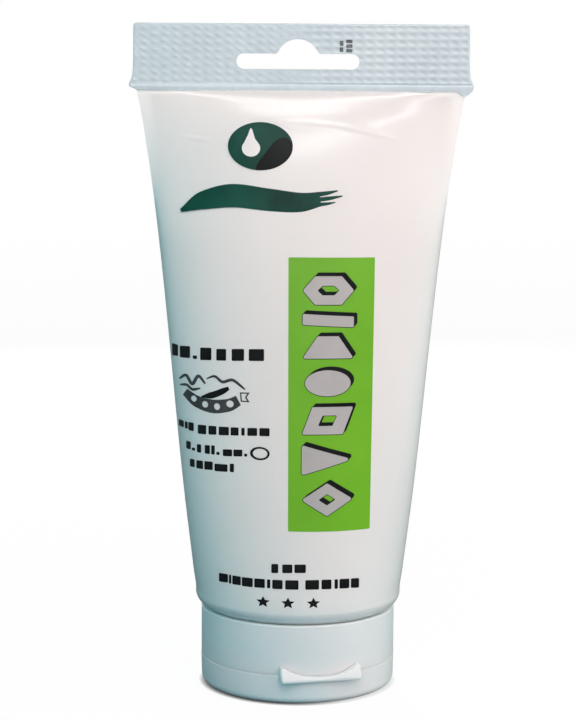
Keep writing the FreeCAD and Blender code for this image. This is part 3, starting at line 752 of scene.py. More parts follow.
for outer, hole in shapes:
    outer = ccw(outer)
    grown = grow(outer, 0.15)
    sh = [hull(grow(outer, 0.08) + [(x + DX, z + DZ) for x, z in grow(outer, 0.08)])]
    if hole is None:
        silver.append([outer])
        outline_.append([grown])
        shadow.append(sh)
    else:
        hole = ccw(hole)
        silver.append([outer, hole])
        outline_.append([grown, grow(hole, -0.13)])
        inner = clip_convex(grow(hole, -0.06), [(x + DX, z + DZ) for x, z in grow(hole, -0.06)])
        shadow.append(sh + ([inner] if len(inner) > 2 else []))
film("print_shape_shadow", shadow, INK_BLACK, 0.045)
film("print_shape_outline", outline_, INK_BLACK, 0.055)
film("print_shapes", silver, INK_SILVER, 0.066)

# ---- oval badge: a white drop and a dark mound on green
FINE = [x * 0.5 for x in range(-80, 80)]
OX, OZ, ORX, ORZ = -8.63, 118.50, 6.93, 5.02


def arc_points(cx, cz, rx, rz, a0, a1, n):
    return [(cx + rx * math.cos(math.radians(a0 + (a1 - a0) * i / n)), cz + rz * math.sin(math.radians(a0 + (a1 - a0) * i / n))) for i in range(n + 1)]


film("print_badge_oval", [[ellipse(OX, OZ, ORX, ORZ, 96)]], INK_DARK_GREEN, 0.030, step_z=0.6, lines=FINE)
drop = arc_points(-10.6, 118.05, 1.95, 1.75, 140, 400, 40) + [(-9.75, 120.0), (-10.05, 120.9), (-10.35, 121.9), (-10.7, 122.3), (-10.95, 121.8), (-11.3, 120.8), (-11.75, 119.9)]
film("print_badge_drop", [[drop]], INK_WHITE, 0.045, step_z=0.6, lines=FINE)
mound = arc_points(OX, OZ, ORX - 0.02, ORZ - 0.02, -98, 8, 40) + [(-2.4, 119.9), (-3.4, 120.4), (-4.6, 120.2), (-5.7, 119.4), (-6.7, 118.2), (-7.7, 116.9), (-8.8, 115.5), (-9.4, 114.4)]
film("print_badge_mound", [[mound]], INK_BLACK, 0.055, step_z=0.6, lines=FINE)

# ---- one broad brush stroke under the badge, its far end broken into bristle marks
sweep = stroke([(-25.6, 104.6), (-20.5, 107.0), (-14.0, 108.1), (-7.0, 107.4), (-0.5, 106.9), (4.2, 107.6)], [0.7, 3.9, 4.9, 4.7, 4.1, 3.0], 120)
tails = [
    stroke([(3.4, 108.55), (5.6, 108.85), (7.9, 109.35)], [1.05, 0.8, 0.25], 24),
    stroke([(3.3, 107.45), (6.0, 107.75), (8.9, 108.25)], [0.95, 0.8, 0.25], 24),
    stroke([(3.0, 106.45), (5.4, 106.6), (7.4, 106.95)], [0.9, 0.65, 0.2], 24),
]
film("print_sweep", [[sweep]] + [[t] for t in tails], INK_DARK_GREEN, 0.030, step_z=0.7)

# ---- lines of small print, as plain blocks: x0, x1, low z left/right, high z right/left
LINE_1 = [(-27.62, -26.20, 72.90, 73.14, 75.59, 75.63), (-25.77, -23.47, 72.93, 73.11, 75.71, 75.47), (-22.85, -21.93, 73.03, 73.10, 73.86, 73.79),
          (-21.22, -18.79, 72.98, 73.17, 75.81, 75.66), (-17.70, -15.60, 73.19, 73.28, 75.79, 75.66), (-14.40, -11.75, 73.31, 73.45, 75.99, 75.86), (-10.74, -7.50, 73.49, 73.57, 76.10, 75.99)]
LINE_2 = [(-26.10, -24.90, 57.56, 57.57, 59.03, 59.07), (-24.65, -24.00, 57.51, 57.50, 59.04, 59.06), (-23.85, -22.64, 57.32, 57.30, 59.13, 59.10), (-21.71, -19.86, 56.97, 57.07, 59.07, 58.93),
          (-19.35, -17.63, 57.14, 57.29, 59.14, 59.04), (-17.12, -14.92, 57.27, 57.43, 59.20, 59.10), (-14.52, -12.83, 57.46, 57.53, 59.27, 59.18), (-12.23, -11.54, 57.58, 57.62, 59.27, 59.25),
          (-10.95, -8.87, 57.62, 57.70, 59.38, 59.29), (-8.38, -6.21, 57.70, 57.73, 59.45, 59.40)]
LINE_3 = [(-24.35, -23.32, 53.06, 53.11, 54.81, 54.83), (-23.05, -22.33, 53.02, 53.05, 53.71, 53.64), (-21.91, -20.98, 52.88, 52.86, 54.68, 54.65), (-20.16, -19.05, 52.90, 52.93, 54.85, 54.75),
          (-18.73, -17.98, 52.92, 52.96, 54.92, 54.92), (-17.61, -16.91, 52.97, 53.00, 53.65, 53.63), (-16.20, -14.20, 52.88, 53.00, 54.47, 54.33), (-13.90, -12.01, 53.03, 53.15, 54.60, 54.49), (-11.61, -10.95, 53.16, 53.18, 53.81, 53.80)]
LINE_4 = [(-23.51, -22.44, 49.29, 49.39, 51.13, 51.05), (-22.02, -20.56, 49.29, 49.40, 51.22, 51.08), (-20.25, -18.41, 49.41, 49.56, 51.36, 51.23), (-18.00, -15.18, 49.42, 49.58, 51.16, 51.02), (-14.68, -13.78, 49.63, 49.62, 51.44, 51.41)]
NUMBER = [(-5.65, -4.19, 28.86, 28.92, 30.84, 30.77), (-3.33, -1.19, 28.95, 29.01, 30.82, 30.76), (-0.75, 1.68, 29.04, 29.05, 30.83, 30.82)]
NAME = [(-16.94, -14.98, 25.51, 25.69, 27.50, 27.42), (-14.74, -14.26, 25.56, 25.58, 27.48, 27.49), (-14.02, -12.18, 25.53, 25.57, 27.44, 27.46), (-11.95, -9.61, 25.49, 25.51, 27.41, 27.40), (-9.26, -7.01, 25.52, 25.57, 27.48, 27.44),
        (-6.55, -5.85, 25.61, 25.59, 27.47, 27.47), (-5.43, -3.24, 25.52, 25.54, 27.46, 27.45), (-2.68, 0.14, 25.52, 25.52, 27.49, 27.48), (1.59, 4.51, 25.52, 25.50, 27.52, 27.54), (5.04, 7.13, 25.52, 25.45, 27.48, 27.54),
        (7.82, 8.52, 25.45, 25.42, 27.45, 27.48), (8.88, 10.97, 25.41, 25.31, 27.36, 27.45), (11.32, 13.08, 25.32, 25.15, 27.21, 27.34)]
for name, rows in (("print_line_1", LINE_1), ("print_line_2", LINE_2), ("print_line_3", LINE_3), ("print_line_4", LINE_4), ("print_number", NUMBER), ("print_name", NAME)):
    film(name, quads(rows, 0.22), INK_BLACK, 0.030, step_z=1.0)
film("print_ring", [[ellipse(-8.26, 54.0, 2.10, 1.42, 40), ellipse(-8.20, 54.0, 1.55, 1.02, 40)]], INK_BLACK, 0.030)

# ---- small pictogram: a tray with wells, a brush across it, and a curl of paint
tray = stroke([(-24.6, 65.6), (-21.8, 63.9), (-18.4, 63.3), (-15.2, 63.8), (-12.9, 65.0)], [1.8, 2.6, 2.9, 2.7, 2.2], 60)
wells = [ellipse(-22.6, 64.45, 0.62, 0.66, 20), ellipse(-20.1, 63.55, 0.66, 0.70, 20), ellipse(-17.5, 63.35, 0.66, 0.72, 20), ellipse(-14.7, 64.15, 0.80, 0.74, 20)]
film("print_tray", [[tray] + wells], INK_GREY, 0.030, step_z=1.0)
film("print_brush", [[stroke([(-20.9, 65.1), (-18.6, 65.7), (-16.4, 66.7), (-15.0, 67.5)], [0.3, 1.35, 1.25, 0.7], 40)]], INK_BLACK, 0.045, step_z=1.0)
film("print_curl", [
    [stroke([(-25.9, 68.2), (-24.4, 69.3), (-23.0, 67.6), (-21.6, 69.5), (-20.1, 68.0)], [0.35, 0.62, 0.72, 0.66, 0.4], 70)],
    [stroke([(-19.8, 69.1), (-18.1, 69.8), (-16.3, 68.7), (-14.4, 69.3), (-12.4, 68.1), (-11.5, 67.4)], [0.25, 0.5, 0.62, 0.6, 0.5, 0.3], 70)],
    [stroke([(-25.8, 66.9), (-24.3, 67.2), (-22.9, 66.4), (-21.2, 66.9)], [0.3, 0.6, 0.6, 0.3], 40)],
], INK_GREY, 0.030, step_z=1.0)
film("print_flag", [[[(-12.4, 64.75), (-10.5, 64.75), (-11.15, 65.75), (-10.5, 66.8), (-12.6, 66.75)], [(-12.15, 65.02), (-12.3, 66.48), (-11.05, 66.52), (-11.5, 65.75), (-11.05, 65.0)]]], INK_GREY, 0.030)


def star(cx, cz, rx, rz):
    return [(cx + (rx if i % 2 == 0 else rx * 0.46) * math.sin(math.pi * i / 5), cz + (rz if i % 2 == 0 else rz * 0.46) * math.cos(math.pi * i / 5)) for i in range(10)]


film("print_stars", [[star(x, z, 1.50, 1.24)] for x, z in ((-7.38, 22.62), (-2.07, 22.60), (3.34, 22.60))], INK_BLACK, 0.030, step_z=0.8)

# ---- two small marks stamped on the band beside the slot


def band_front(x, z):
    return -band_half_thickness(x, z, -1)


STAMP_MAT = plastic("ink_stamp", (0.075, 0.090, 0.105), (0.20, 0.225, 0.25), rough=(0.36, 0.46), scale=1500.0)
film("stamp_marks", [[rounded([(x0, z0), (x0 + w, z0), (x0 + w, z0 + h), (x0, z0 + h)], 0.12, 3)] for x0, z0, w, h in
                     ((8.15, 138.35, 0.8, 1.0), (8.15, 139.65, 0.8, 1.1), (9.55, 138.25, 1.35, 0.75), (9.55, 139.25, 1.35, 0.75), (9.55, 140.25, 1.35, 0.75))],
     STAMP_MAT, 0.020, step_z=0.15, lines=[7.5 + 0.15 * i for i in range(30)], surface=band_front)

# ------------------------------------------------------------------ cap base
DECK_TOP = PART_Z + PART_GAP / 2 + 1.2
RI, SKIRT_RI, SKIRT_RO = CAP_R - 1.6, 9.0, 10.5
base_pts = [
    (1.8, 3.4), (2.7, 3.2), (3.05, 3.4), (3.5, Z_BASE - 0.9), (5.6, Z_BASE - 0.5), (6.0, Z_BASE),
    (18.55, Z_BASE), (18.55, 5.0), (19.75, 5.0), (19.75, Z_BASE),
    (CAP_R, Z_BASE), (CAP_R, CAP_TOP_Z), (RI, CAP_TOP_Z), (RI, DECK_TOP), (SKIRT_RO, DECK_TOP), (SKIRT_RO, 16.2), (SKIRT_RI, 16.2),
    (SKIRT_RI, DECK_TOP), (1.8, DECK_TOP),
]
base_r = [0.2, 0.25, 0.2, 0.5, 0.5, 0.3, 0.35, 0.25, 0.25, 0.3, 0.10, 0.38, 0.3, 0.6, 0.5, 0.4, 0.4, 0.3, 0.5]


def box_solid(name, x0, x1, y0, y1, z0, z1):
    return extruded(name, [(x0, y0), (x1, y0), (x1, y1), (x0, y1)], "z", z0, z1)


def turned(ob, angle):
    ob.data.transform(Matrix.Rotation(angle, 4, "Z"))
    return ob


def sector_solid(name, r0, r1, a0, a1, z0, z1, n=16):
    """A block of ring between two angles from +Y."""
    g = [math.radians(90 + a0 + (a1 - a0) * i / n) for i in range(n + 1)]
    loop = [(r1 * math.cos(t), r1 * math.sin(t)) for t in g] + [(r0 * math.cos(t), r0 * math.sin(t)) for t in g[::-1]]
    return extruded(name, loop, "z", z0, z1)


def hinge_tools():
    return [
        box_solid("flat", -12, 12, 20.6, 30, PART_Z - 3.3, PART_Z + 3.3),
        sector_solid("pocket_a", 20.75, 24, 16.5, 24.5, PART_Z - 3.0, PART_Z + 3.0),
        sector_solid("pocket_b", 20.75, 24, -24.5, -16.5, PART_Z - 3.0, PART_Z + 3.0),
    ]


def thread_solid(name, r_root, r_crest, z_start, turns, phase, w0=1.3, w1=0.7, pitch=3.0, bite=0.25, n=64):
    """A trapezoid thread that fades in and out at its ends."""
    sign = 1 if r_crest > r_root else -1
    steps = int(n * turns)
    verts, faces = [], []
    for i in range(steps + 1):
        t = i / steps
        fade = float(min(1.0, t * turns * 9, (1 - t) * turns * 9))
        g = phase + 2 * math.pi * turns * t
        z = z_start + pitch * turns * t
        rc = r_root + (r_crest - r_root) * fade
        q = [(r_root - sign * bite, -w0 / 2), (r_root, -w0 / 2), (rc - sign * 0.12, -w1 / 2 - 0.05), (rc, -w1 / 2 + 0.1), (rc, w1 / 2 - 0.1), (rc - sign * 0.12, w1 / 2 + 0.05), (r_root, w0 / 2), (r_root - sign * bite, w0 / 2)]
        verts += [(r * math.cos(g), r * math.sin(g), z + dz) for r, dz in q]
    m = 8
    for i in range(steps):
        for k in range(m):
            a, b = i * m + k, i * m + (k + 1) % m
            faces.append((a, b, b + m, a + m))
    faces.append(tuple(range(m - 1, -1, -1)))
    faces.append(tuple(range(steps * m, steps * m + m)))
    return new_object(name, verts, faces, smooth=False)


def build_base():
    ob = lathe("cap_shell", rounded(base_pts, base_r, 6), 256, smooth=False)
    for i in range(6):
        rib = turned(box_solid("rib", SKIRT_RO - 0.3, RI + 0.3, -0.45, 0.45, DECK_TOP - 0.2, 14.5), math.radians(60 * i + 30))
        boolean(ob, rib, "UNION")
    boolean(ob, thread_solid("female", SKIRT_RI, 8.0, 10.2 + 1.5, 1.0, -CAP_YAW), "UNION")
    for t in hinge_tools():
        boolean(ob, t)
    ob.data.transform(YAW)
    tidy(ob, 0.002)
    shade(ob, 38.0)
    ob.data.materials.clear()
    ob.data.materials.append(CAP_MAT)
    return ob


cap = build_base()
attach(cap, "cap")
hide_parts("cap_base")

# ------------------------------------------------------------------ lid with its thumb lip
LRI, PLATE = CAP_R - 1.25, 1.4
fr = 1.8
lid_pts = [
    (0, 0.12), (0.7, 0.12), (1.0, 0.0), (CAP_R - 0.12, 0.0), (CAP_R + 0.07, Z_LID), (LRI, Z_LID), (LRI, 5.72), (LRI - 0.13, 5.40), (LRI - 0.13, 5.25), (LRI, 4.93),
    (LRI, PLATE), (5.4, PLATE), (5.4, 3.6), (4.6, 3.6), (4.6, PLATE), (2.2, PLATE), (1.5, 2.0), (1.5, 5.2), (0, 5.2),
]
lid_r = [0, 0.3, 0.3, fr, 0.16, 0.28, 0.3, 0.1, 0.1, 0.3, 1.0, 0.3, 0.2, 0.2, 0.3, 0.3, 0.3, 0.5, 0]
LIP_HALF, LIP_Z0, LIP_END, LIP_MID, LIP_OUT = 8.85, 5.35, 8.45, 6.22, 1.3


def build_lip():
    """A straight-fronted bar, scooped along its top, with soft edges and rounded ends."""
    xs = LIP_HALF * np.sin(np.linspace(-math.pi / 2, math.pi / 2, 97))
    rows = []
    m = None
    for x in xs:
        e = max(0.0, (LIP_HALF - abs(x)) / 0.55)
        k = math.sqrt(max(0.0, 1 - (1 - min(1.0, e)) ** 2))      # 0 at the very end, 1 inside
        zt = LIP_MID + (LIP_END - LIP_MID) * min(1.0, abs(x) / 8.3) ** 2.3
        zt = zt - 0.55 * (1 - k)
        z0 = LIP_Z0 + 0.30 * (1 - k)
        yf = -(CAP_R + LIP_OUT) + 0.55 * (1 - k)
        zb = z0 + 0.55
        lean = (zt - zb) * 0.52
        pts = [(-18.5, z0), (yf + 0.05, z0), (yf, zb), (yf + max(0.25, lean), zt), (-18.5, zt)]
        sec = rounded(pts, [0, 0.22, 0.8, 0.42, 0], 6)
        if m is None:
            m = len(sec)
        if len(sec) != m:
            sec = rounded([(p[0] + 1e-3 * i, p[1] + 1e-3 * i * i) for i, p in enumerate(pts)], [0, 0.22, 0.8, 0.42, 0], 6)
        rows.append([(x, y, z) for y, z in sec])
    assert all(len(r) == m for r in rows)
    verts = [p for r in rows for p in r]
    faces = [(i * m + k, i * m + (k + 1) % m, (i + 1) * m + (k + 1) % m, (i + 1) * m + k) for i in range(len(rows) - 1) for k in range(m)]
    faces += [tuple(range(m - 1, -1, -1)), tuple(range((len(rows) - 1) * m, len(rows) * m))]
    ob = new_object("lip", verts, faces, smooth=False)
    boolean(ob, lathe("clear", [(0, PART_Z - 0.07), (CAP_R + 0.18, PART_Z - 0.07), (CAP_R + 0.18, 20), (0, 20)], 256, smooth=False))
    boolean(ob, lathe("core", [(0, 0), (CAP_R - 0.40, 0), (CAP_R - 0.40, 20), (0, 20)], 256, smooth=False))
    return ob


def build_lid():
    ob = lathe("lid_shell", rounded(lid_pts, lid_r, 7), 256, smooth=False)
    boolean(ob, build_lip(), "UNION")
    for t in hinge_tools():
        boolean(ob, t)
    ob.data.transform(YAW)
    tidy(ob, 0.002)
    shade(ob, 38.0)
    ob.data.materials.clear()
    ob.data.materials.append(CAP_MAT)
    return ob


lid = build_lid()
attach(lid, "lid")
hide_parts("lid")

# ------------------------------------------------------------------ living hinge: a thin film and two side straps


def hinge_sheet(name, x_or_angle, r_in, r_out, half_z, rows=57, cols=21, polar=False, film_line=False):
    """A small slab over the parting line, with softened edges."""
    p0, p1 = x_or_angle
    dz = np.linspace(-half_z, half_z, rows)
    s = np.linspace(p0, p1, cols)
    out_g, in_g = np.zeros((rows, cols, 3)), np.zeros((rows, cols, 3))
    for i, d in enumerate(dz):
        for j, v in enumerate(s):
            edge = min(1.0, (min(v - p0, p1 - v) / (p1 - p0) * cols / 2.0) + 0.0)
            ez = min(1.0, (half_z - abs(d)) / 0.18)
            soft = 0.09 * (1 - edge) + 0.09 * (1 - math.sqrt(max(0.0, 1 - (1 - ez) ** 2)))
            ri, ro = r_in + soft * 0.5, r_out - soft
            if film_line:
                g = math.exp(-(d / 0.42) ** 2)
                ri = ri + (HINGE_U - 0.13 - r_in) * g
                ro = ro + (HINGE_U + 0.13 - r_out) * g
            if polar:
                t = math.radians(90 + v)
                out_g[i, j] = (ro * math.cos(t), ro * math.sin(t), PART_Z + d)
                in_g[i, j] = (ri * math.cos(t), ri * math.sin(t), PART_Z + d)
            else:
                out_g[i, j] = (v, ro, PART_Z + d)
                in_g[i, j] = (v, ri, PART_Z + d)
    ob = sheet(name, out_g, in_g, mat=CAP_MAT, sharp=60.0)
    ob.data.transform(YAW)
    return ob


web = hinge_sheet("hinge_film", (-4.8, 4.8), 20.62, 21.05, 2.9, film_line=True)
strap_a = hinge_sheet("hinge_strap_a", (17.1, 23.9), 20.77, 21.2, 2.85, polar=True)
strap_b = hinge_sheet("hinge_strap_b", (-23.9, -17.1), 20.77, 21.2, 2.85, polar=True)
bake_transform(web)
for s in (strap_a, strap_b):
    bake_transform(s)
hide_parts("hinge_web")
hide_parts("hinge_straps")
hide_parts("hinge_straps")


# ------------------------------------------------------------------ paint inside
def build_paint():
    h = 96
    t = np.arange(2 * h) / (2 * h) * 2 * math.pi

    def row_at(zs):
        a = A_OF(zs) - 0.6 - 3.0 * float(crease(zs))
        b = max(B_OF(zs) - 0.6, 0.3)
        w = float(crease(zs))
        out = []
        for g in t:
            c = math.cos(g)
            s = math.sqrt(max(0.0, 1 - c * c))
            out.append((a * c, (1 if math.sin(g) >= 0 else -1) * b * ((1 - w) * s + w * (1 - c * c)), zs))
        return out

    rows = []
    neck = 5.88
    for r, z in [(0.4 * neck, 8.62), (0.8 * neck, 8.55), (neck - 0.1, 8.6), (neck, 8.8), (neck, 12.0), (neck, 16.0), (neck, 19.3), (neck + 0.5, 19.62), (12.0, 19.66), (19.2, 19.66), (19.9, 19.9), (20.6, 20.9), (20.9, 21.5)]:
        rows.append([(r * math.cos(g), r * math.sin(g), z) for g in t])
    for z in np.concatenate([[22.2], np.arange(23.0, 108.0, 1.6)]):
        rows.append(row_at(float(z)))
    top = 109.3
    for k, dz in ((1.0, -0.55), (0.985, -0.15), (0.955, 0.0), (0.8, 0.0), (0.6, 0.0), (0.4, 0.0), (0.2, 0.0)):
        r = row_at(top - 0.8)
        rows.append([(x * k, y * k, top + dz + (0.0 if k > 0.99 else 0.22 * math.sin(0.31 * x * k + 0.4) * math.cos(0.5 * y * k) - 0.2 * (1 - k))) for x, y, _ in r])
    n = 2 * h
    verts = [p for r in rows for p in r]
    faces = [(i * n + k, i * n + (k + 1) % n, (i + 1) * n + (k + 1) % n, (i + 1) * n + k) for i in range(len(rows) - 1) for k in range(n)]
    faces += [tuple(range(n - 1, -1, -1)), tuple(range((len(rows) - 1) * n, len(rows) * n))]
    return new_object("paint_body", verts, faces, PAINT_MAT, sharp=50.0)


paint = build_paint()
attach(paint, "tube")
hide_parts("paint_fill")

# ------------------------------------------------------------------ CAD pieces kept as they are
for node, mat, slot_name in (("tube_head", HEAD_MAT, "head_plastic"), ("foil_seal", FOIL_MAT, "foil"), ("cap_liner", LINER_MAT, "liner_foam")):
    o = frame["nodes"][node]
    for i in range(max(1, len(o.data.materials))):
        if len(o.data.materials) <= i:
            o.data.materials.append(mat)
        else:
            o.data.materials[i] = mat
for node in ("sleeve", "end_seal", "paint_fill", "cap_base", "lid", "hinge_web", "hinge_straps"):
    o = frame["nodes"][node]
    mat = {"sleeve": SLEEVE_MAT, "end_seal": SEAL_MAT, "paint_fill": PAINT_MAT}.get(node, CAP_MAT)
    for i in range(len(o.data.materials)):
        o.data.materials[i] = mat

# ------------------------------------------------------------------ floor and surroundings
# positions round the object: 0 and 1 behind, 0.25 at -X, 0.5 in front, 0.75 at +X
LOW = [(0, (0.500, 0.500, 0.500)), (0.125, (0.500, 0.500, 0.500)), (0.25, (0.150, 0.150, 0.150)), (0.375, (0.150, 0.150, 0.150)), (0.5, (0.150, 0.150, 0.150)), (0.625, (0.150, 0.150, 0.150)), (0.75, (0.150, 0.150, 0.150)), (0.875, (0.500, 0.500, 0.500)), (1.0, (0.500, 0.500, 0.500))]
MID = [(0, (0.500, 0.500, 0.500)), (0.125, (0.500, 0.500, 0.500)), (0.25, (0.150, 0.150, 0.150)), (0.375, (0.150, 0.150, 0.150)), (0.5, (0.150, 0.150, 0.150)), (0.625, (0.150, 0.150, 0.150)), (0.75, (0.150, 0.150, 0.150)), (0.875, (0.500, 0.500, 0.500)), (1.0, (0.500, 0.500, 0.500))]
NEAR = [(0, (0.075, 0.075, 0.075)), (0.2, (0.075, 0.075, 0.075)), (0.35, (0.075, 0.111, 0.150)), (0.5, (0.075, 0.394, 0.468)), (0.65, (0.355, 0.417, 0.424)), (0.8, (0.075, 0.075, 0.075)), (1.0, (0.075, 0.075, 0.075))]
FAR = [(0, (0.150, 0.150, 0.150)), (0.3, (0.150, 0.150, 0.150)), (0.5, (0.416, 0.150, 0.150)), (0.7, (0.150, 0.150, 0.150)), (1.0, (0.150, 0.150, 0.150))]
OVERHEAD = (0.150, 0.150, 0.150)
WORLD_GAIN, GROUND_GAIN, FLOOR_GLOW = 1.0, 1.0, 0.95


def round_about(nt, vector, name, stops):
    """A colour that changes with the direction round the vertical axis."""
    sep = nt.nodes.new("ShaderNodeSeparateXYZ")
    nt.links.new(vector, sep.inputs[0])
    neg = nt.nodes.new("ShaderNodeMath")
    neg.operation = "MULTIPLY"
    neg.inputs[1].default_value = -1.0
    nt.links.new(sep.outputs["Y"], neg.inputs[0])
    at = nt.nodes.new("ShaderNodeMath")
    at.operation = "ARCTAN2"
    nt.links.new(sep.outputs["X"], at.inputs[0])
    nt.links.new(neg.outputs[0], at.inputs[1])
    mr = nt.nodes.new("ShaderNodeMapRange")
    mr.inputs["From Min"].default_value, mr.inputs["From Max"].default_value = -math.pi, math.pi
    nt.links.new(at.outputs[0], mr.inputs["Value"])
    ramp = nt.nodes.new("ShaderNodeValToRGB")
    ramp.name = name
    els = ramp.color_ramp.elements
    while len(els) > 1:
        els.remove(els[-1])
    els[0].position, els[0].color = stops[0][0], (*stops[0][1], 1)
    for pos, col in stops[1:]:
        els.new(pos).color = (*col, 1)
    nt.links.new(mr.outputs["Result"], ramp.inputs["Fac"])
    return sep, ramp.outputs["Color"]


m, nt, b = material("pale_floor")
nt.nodes.remove(b)
out = nt.nodes["Material Output"]
tc = nt.nodes.new("ShaderNodeTexCoord")
nz = nt.nodes.new("ShaderNodeTexNoise")
nz.inputs["Scale"].default_value = 3.0
nt.links.new(tc.outputs["Object"], nz.inputs["Vector"])
rp = nt.nodes.new("ShaderNodeValToRGB")
rp.color_ramp.elements[0].color = (0.90, 0.90, 0.90, 1)
rp.color_ramp.elements[1].color = (0.94, 0.94, 0.94, 1)
nt.links.new(nz.outputs["Fac"], rp.inputs["Fac"])
dif = nt.nodes.new("ShaderNodeBsdfDiffuse")
nt.links.new(rp.outputs["Color"], dif.inputs["Color"])
em = nt.nodes.new("ShaderNodeEmission")
seen = nt.nodes.new("ShaderNodeMixShader")
seen.inputs[0].default_value = FLOOR_GLOW
nt.links.new(dif.outputs[0], seen.inputs[1])
nt.links.new(em.outputs[0], seen.inputs[2])
glow = nt.nodes.new("ShaderNodeEmission")
# Painted contact shadow: ambient occlusion within 1.3 mm of the object darkens the floor's glow, both as the camera
# sees it and as it lights the object.
ao = nt.nodes.new("ShaderNodeAmbientOcclusion")
ao.inputs["Distance"].default_value = 0.0013
ao.samples = 6
contact_shade = nt.nodes.new("ShaderNodeMath")
contact_shade.operation = "POWER"
contact_shade.inputs[1].default_value = 1.3
nt.links.new(ao.outputs["AO"], contact_shade.inputs[0])
dim = nt.nodes.new("ShaderNodeMath")
dim.name = "ground_glow"
dim.operation = "MULTIPLY"
dim.inputs[1].default_value = GROUND_GAIN
nt.links.new(contact_shade.outputs[0], dim.inputs[0])
nt.links.new(dim.outputs[0], glow.inputs["Strength"])
# The painted contact shadow the camera sees is at full strength on the -X side and fades to 30 % of it towards +X.
side = nt.nodes.new("ShaderNodeSeparateXYZ")
nt.links.new(tc.outputs["Object"], side.inputs[0])
shadow_share = nt.nodes.new("ShaderNodeMapRange")
shadow_share.interpolation_type = "SMOOTHSTEP"
shadow_share.inputs["From Min"].default_value, shadow_share.inputs["From Max"].default_value = -0.004, 0.016
shadow_share.inputs["To Min"].default_value, shadow_share.inputs["To Max"].default_value = 1.0, 0.3
nt.links.new(side.outputs["X"], shadow_share.inputs["Value"])
shade_mix = nt.nodes.new("ShaderNodeMix")
shade_mix.data_type = "FLOAT"
shade_mix.inputs[2].default_value = 1.0
nt.links.new(shadow_share.outputs["Result"], shade_mix.inputs[0])
nt.links.new(contact_shade.outputs[0], shade_mix.inputs[3])
nt.links.new(shade_mix.outputs[0], em.inputs["Strength"])
# For rays other than the camera's the floor glows in colours that change round the object and with distance: this glow
# is the light on the object from below.
_, near_color = round_about(nt, tc.outputs["Object"], "near", NEAR)
_, far_color = round_about(nt, tc.outputs["Object"], "far", FAR)
reach = nt.nodes.new("ShaderNodeVectorMath")
reach.operation = "LENGTH"
nt.links.new(tc.outputs["Object"], reach.inputs[0])
fade = nt.nodes.new("ShaderNodeMapRange")
fade.interpolation_type = "SMOOTHSTEP"
fade.inputs["From Min"].default_value, fade.inputs["From Max"].default_value = 0.10, 1.2
fade.inputs["To Min"].default_value, fade.inputs["To Max"].default_value = FLOOR_GLOW, 1.0
nt.links.new(reach.outputs["Value"], fade.inputs["Value"])
nt.links.new(fade.outputs["Result"], seen.inputs[0])
away = nt.nodes.new("ShaderNodeMapRange")
away.interpolation_type = "SMOOTHSTEP"
away.inputs["From Min"].default_value, away.inputs["From Max"].default_value = 0.05, 0.16
nt.links.new(reach.outputs["Value"], away.inputs["Value"])
spread = nt.nodes.new("ShaderNodeMix")
spread.data_type = "RGBA"
nt.links.new(away.outputs["Result"], spread.inputs["Factor"])
nt.links.new(near_color, spread.inputs["A"])
nt.links.new(far_color, spread.inputs["B"])
nt.links.new(spread.outputs["Result"], glow.inputs["Color"])
lp = nt.nodes.new("ShaderNodeLightPath")
mix = nt.nodes.new("ShaderNodeMixShader")
nt.links.new(lp.outputs["Is Camera Ray"], mix.inputs[0])
nt.links.new(glow.outputs[0], mix.inputs[1])
nt.links.new(seen.outputs[0], mix.inputs[2])
geo = nt.nodes.new("ShaderNodeNewGeometry")
clear = nt.nodes.new("ShaderNodeBsdfTransparent")
under = nt.nodes.new("ShaderNodeMixShader")
nt.links.new(geo.outputs["Backfacing"], under.inputs[0])
nt.links.new(mix.outputs[0], under.inputs[1])
nt.links.new(clear.outputs[0], under.inputs[2])
nt.links.new(under.outputs[0], out.inputs["Surface"])
fme = bpy.data.meshes.new("floor")
fme.from_pydata([(-120, -40, 0), (120, -40, 0), (120, 200, 0), (-120, 200, 0)], [], [(0, 1, 2, 3)])
floor = bpy.data.objects.new("floor", fme)
scene.collection.objects.link(floor)
fme.materials.append(m)
level = floor.constraints.new("COPY_LOCATION")         # the floor stays under the cap when it is screwed down off the neck
level.target = frame["bodies"]["cap"]
level.use_x, level.use_y, level.use_z = False, False, True
level.use_offset = True


def with_lid_angle(owner, path, index, points):
    """Drives a value by how far the lid is open: points are (angle in radians, value)."""
    curve = owner.driver_add(path, index) if index is not None else owner.driver_add(path)
    curve.keyframe_points.clear()
    for old in list(curve.modifiers):
        curve.modifiers.remove(old)
    for x, y in points:
        curve.keyframe_points.insert(x, y).interpolation = "LINEAR"
    curve.driver.type = "SUM"
    angle = curve.driver.variables.new()
    angle.name = "angle"
    angle.type = "ROTATION_DIFF"
    angle.targets[0].id = frame["bodies"]["cap"]
    angle.targets[1].id = frame["bodies"]["lid"]


HINGE_Z, LID_REACH, LIP_TOP = 0.00646, 0.0441, 0.0078
swing = []
for k in range(0, 181, 10):                            # and below the lowest point of the lid as it swings
    a = math.radians(k)
    low = HINGE_Z + min(math.cos(a) * (h - HINGE_Z) for h in (0.0, LIP_TOP)) - LID_REACH * math.sin(a)
    swing.append((a, min(0.0, low)))
with_lid_angle(floor, "location", 2, swing)

# ------------------------------------------------------------------ light
world = bpy.data.worlds.new("studio")
scene.world = world
world.use_nodes = True
wt = world.node_tree
wt.nodes.clear()
w_out = wt.nodes.new("ShaderNodeOutputWorld")
tc = wt.nodes.new("ShaderNodeTexCoord")
sep, low_color = round_about(wt, tc.outputs["Generated"], "low", LOW)
_, mid_color = round_about(wt, tc.outputs["Generated"], "mid", MID)


def rise(lo, hi):
    up = wt.nodes.new("ShaderNodeMapRange")
    up.interpolation_type = "SMOOTHSTEP"
    up.inputs["From Min"].default_value, up.inputs["From Max"].default_value = lo, hi
    wt.links.new(sep.outputs["Z"], up.inputs["Value"])
    return up.outputs["Result"]


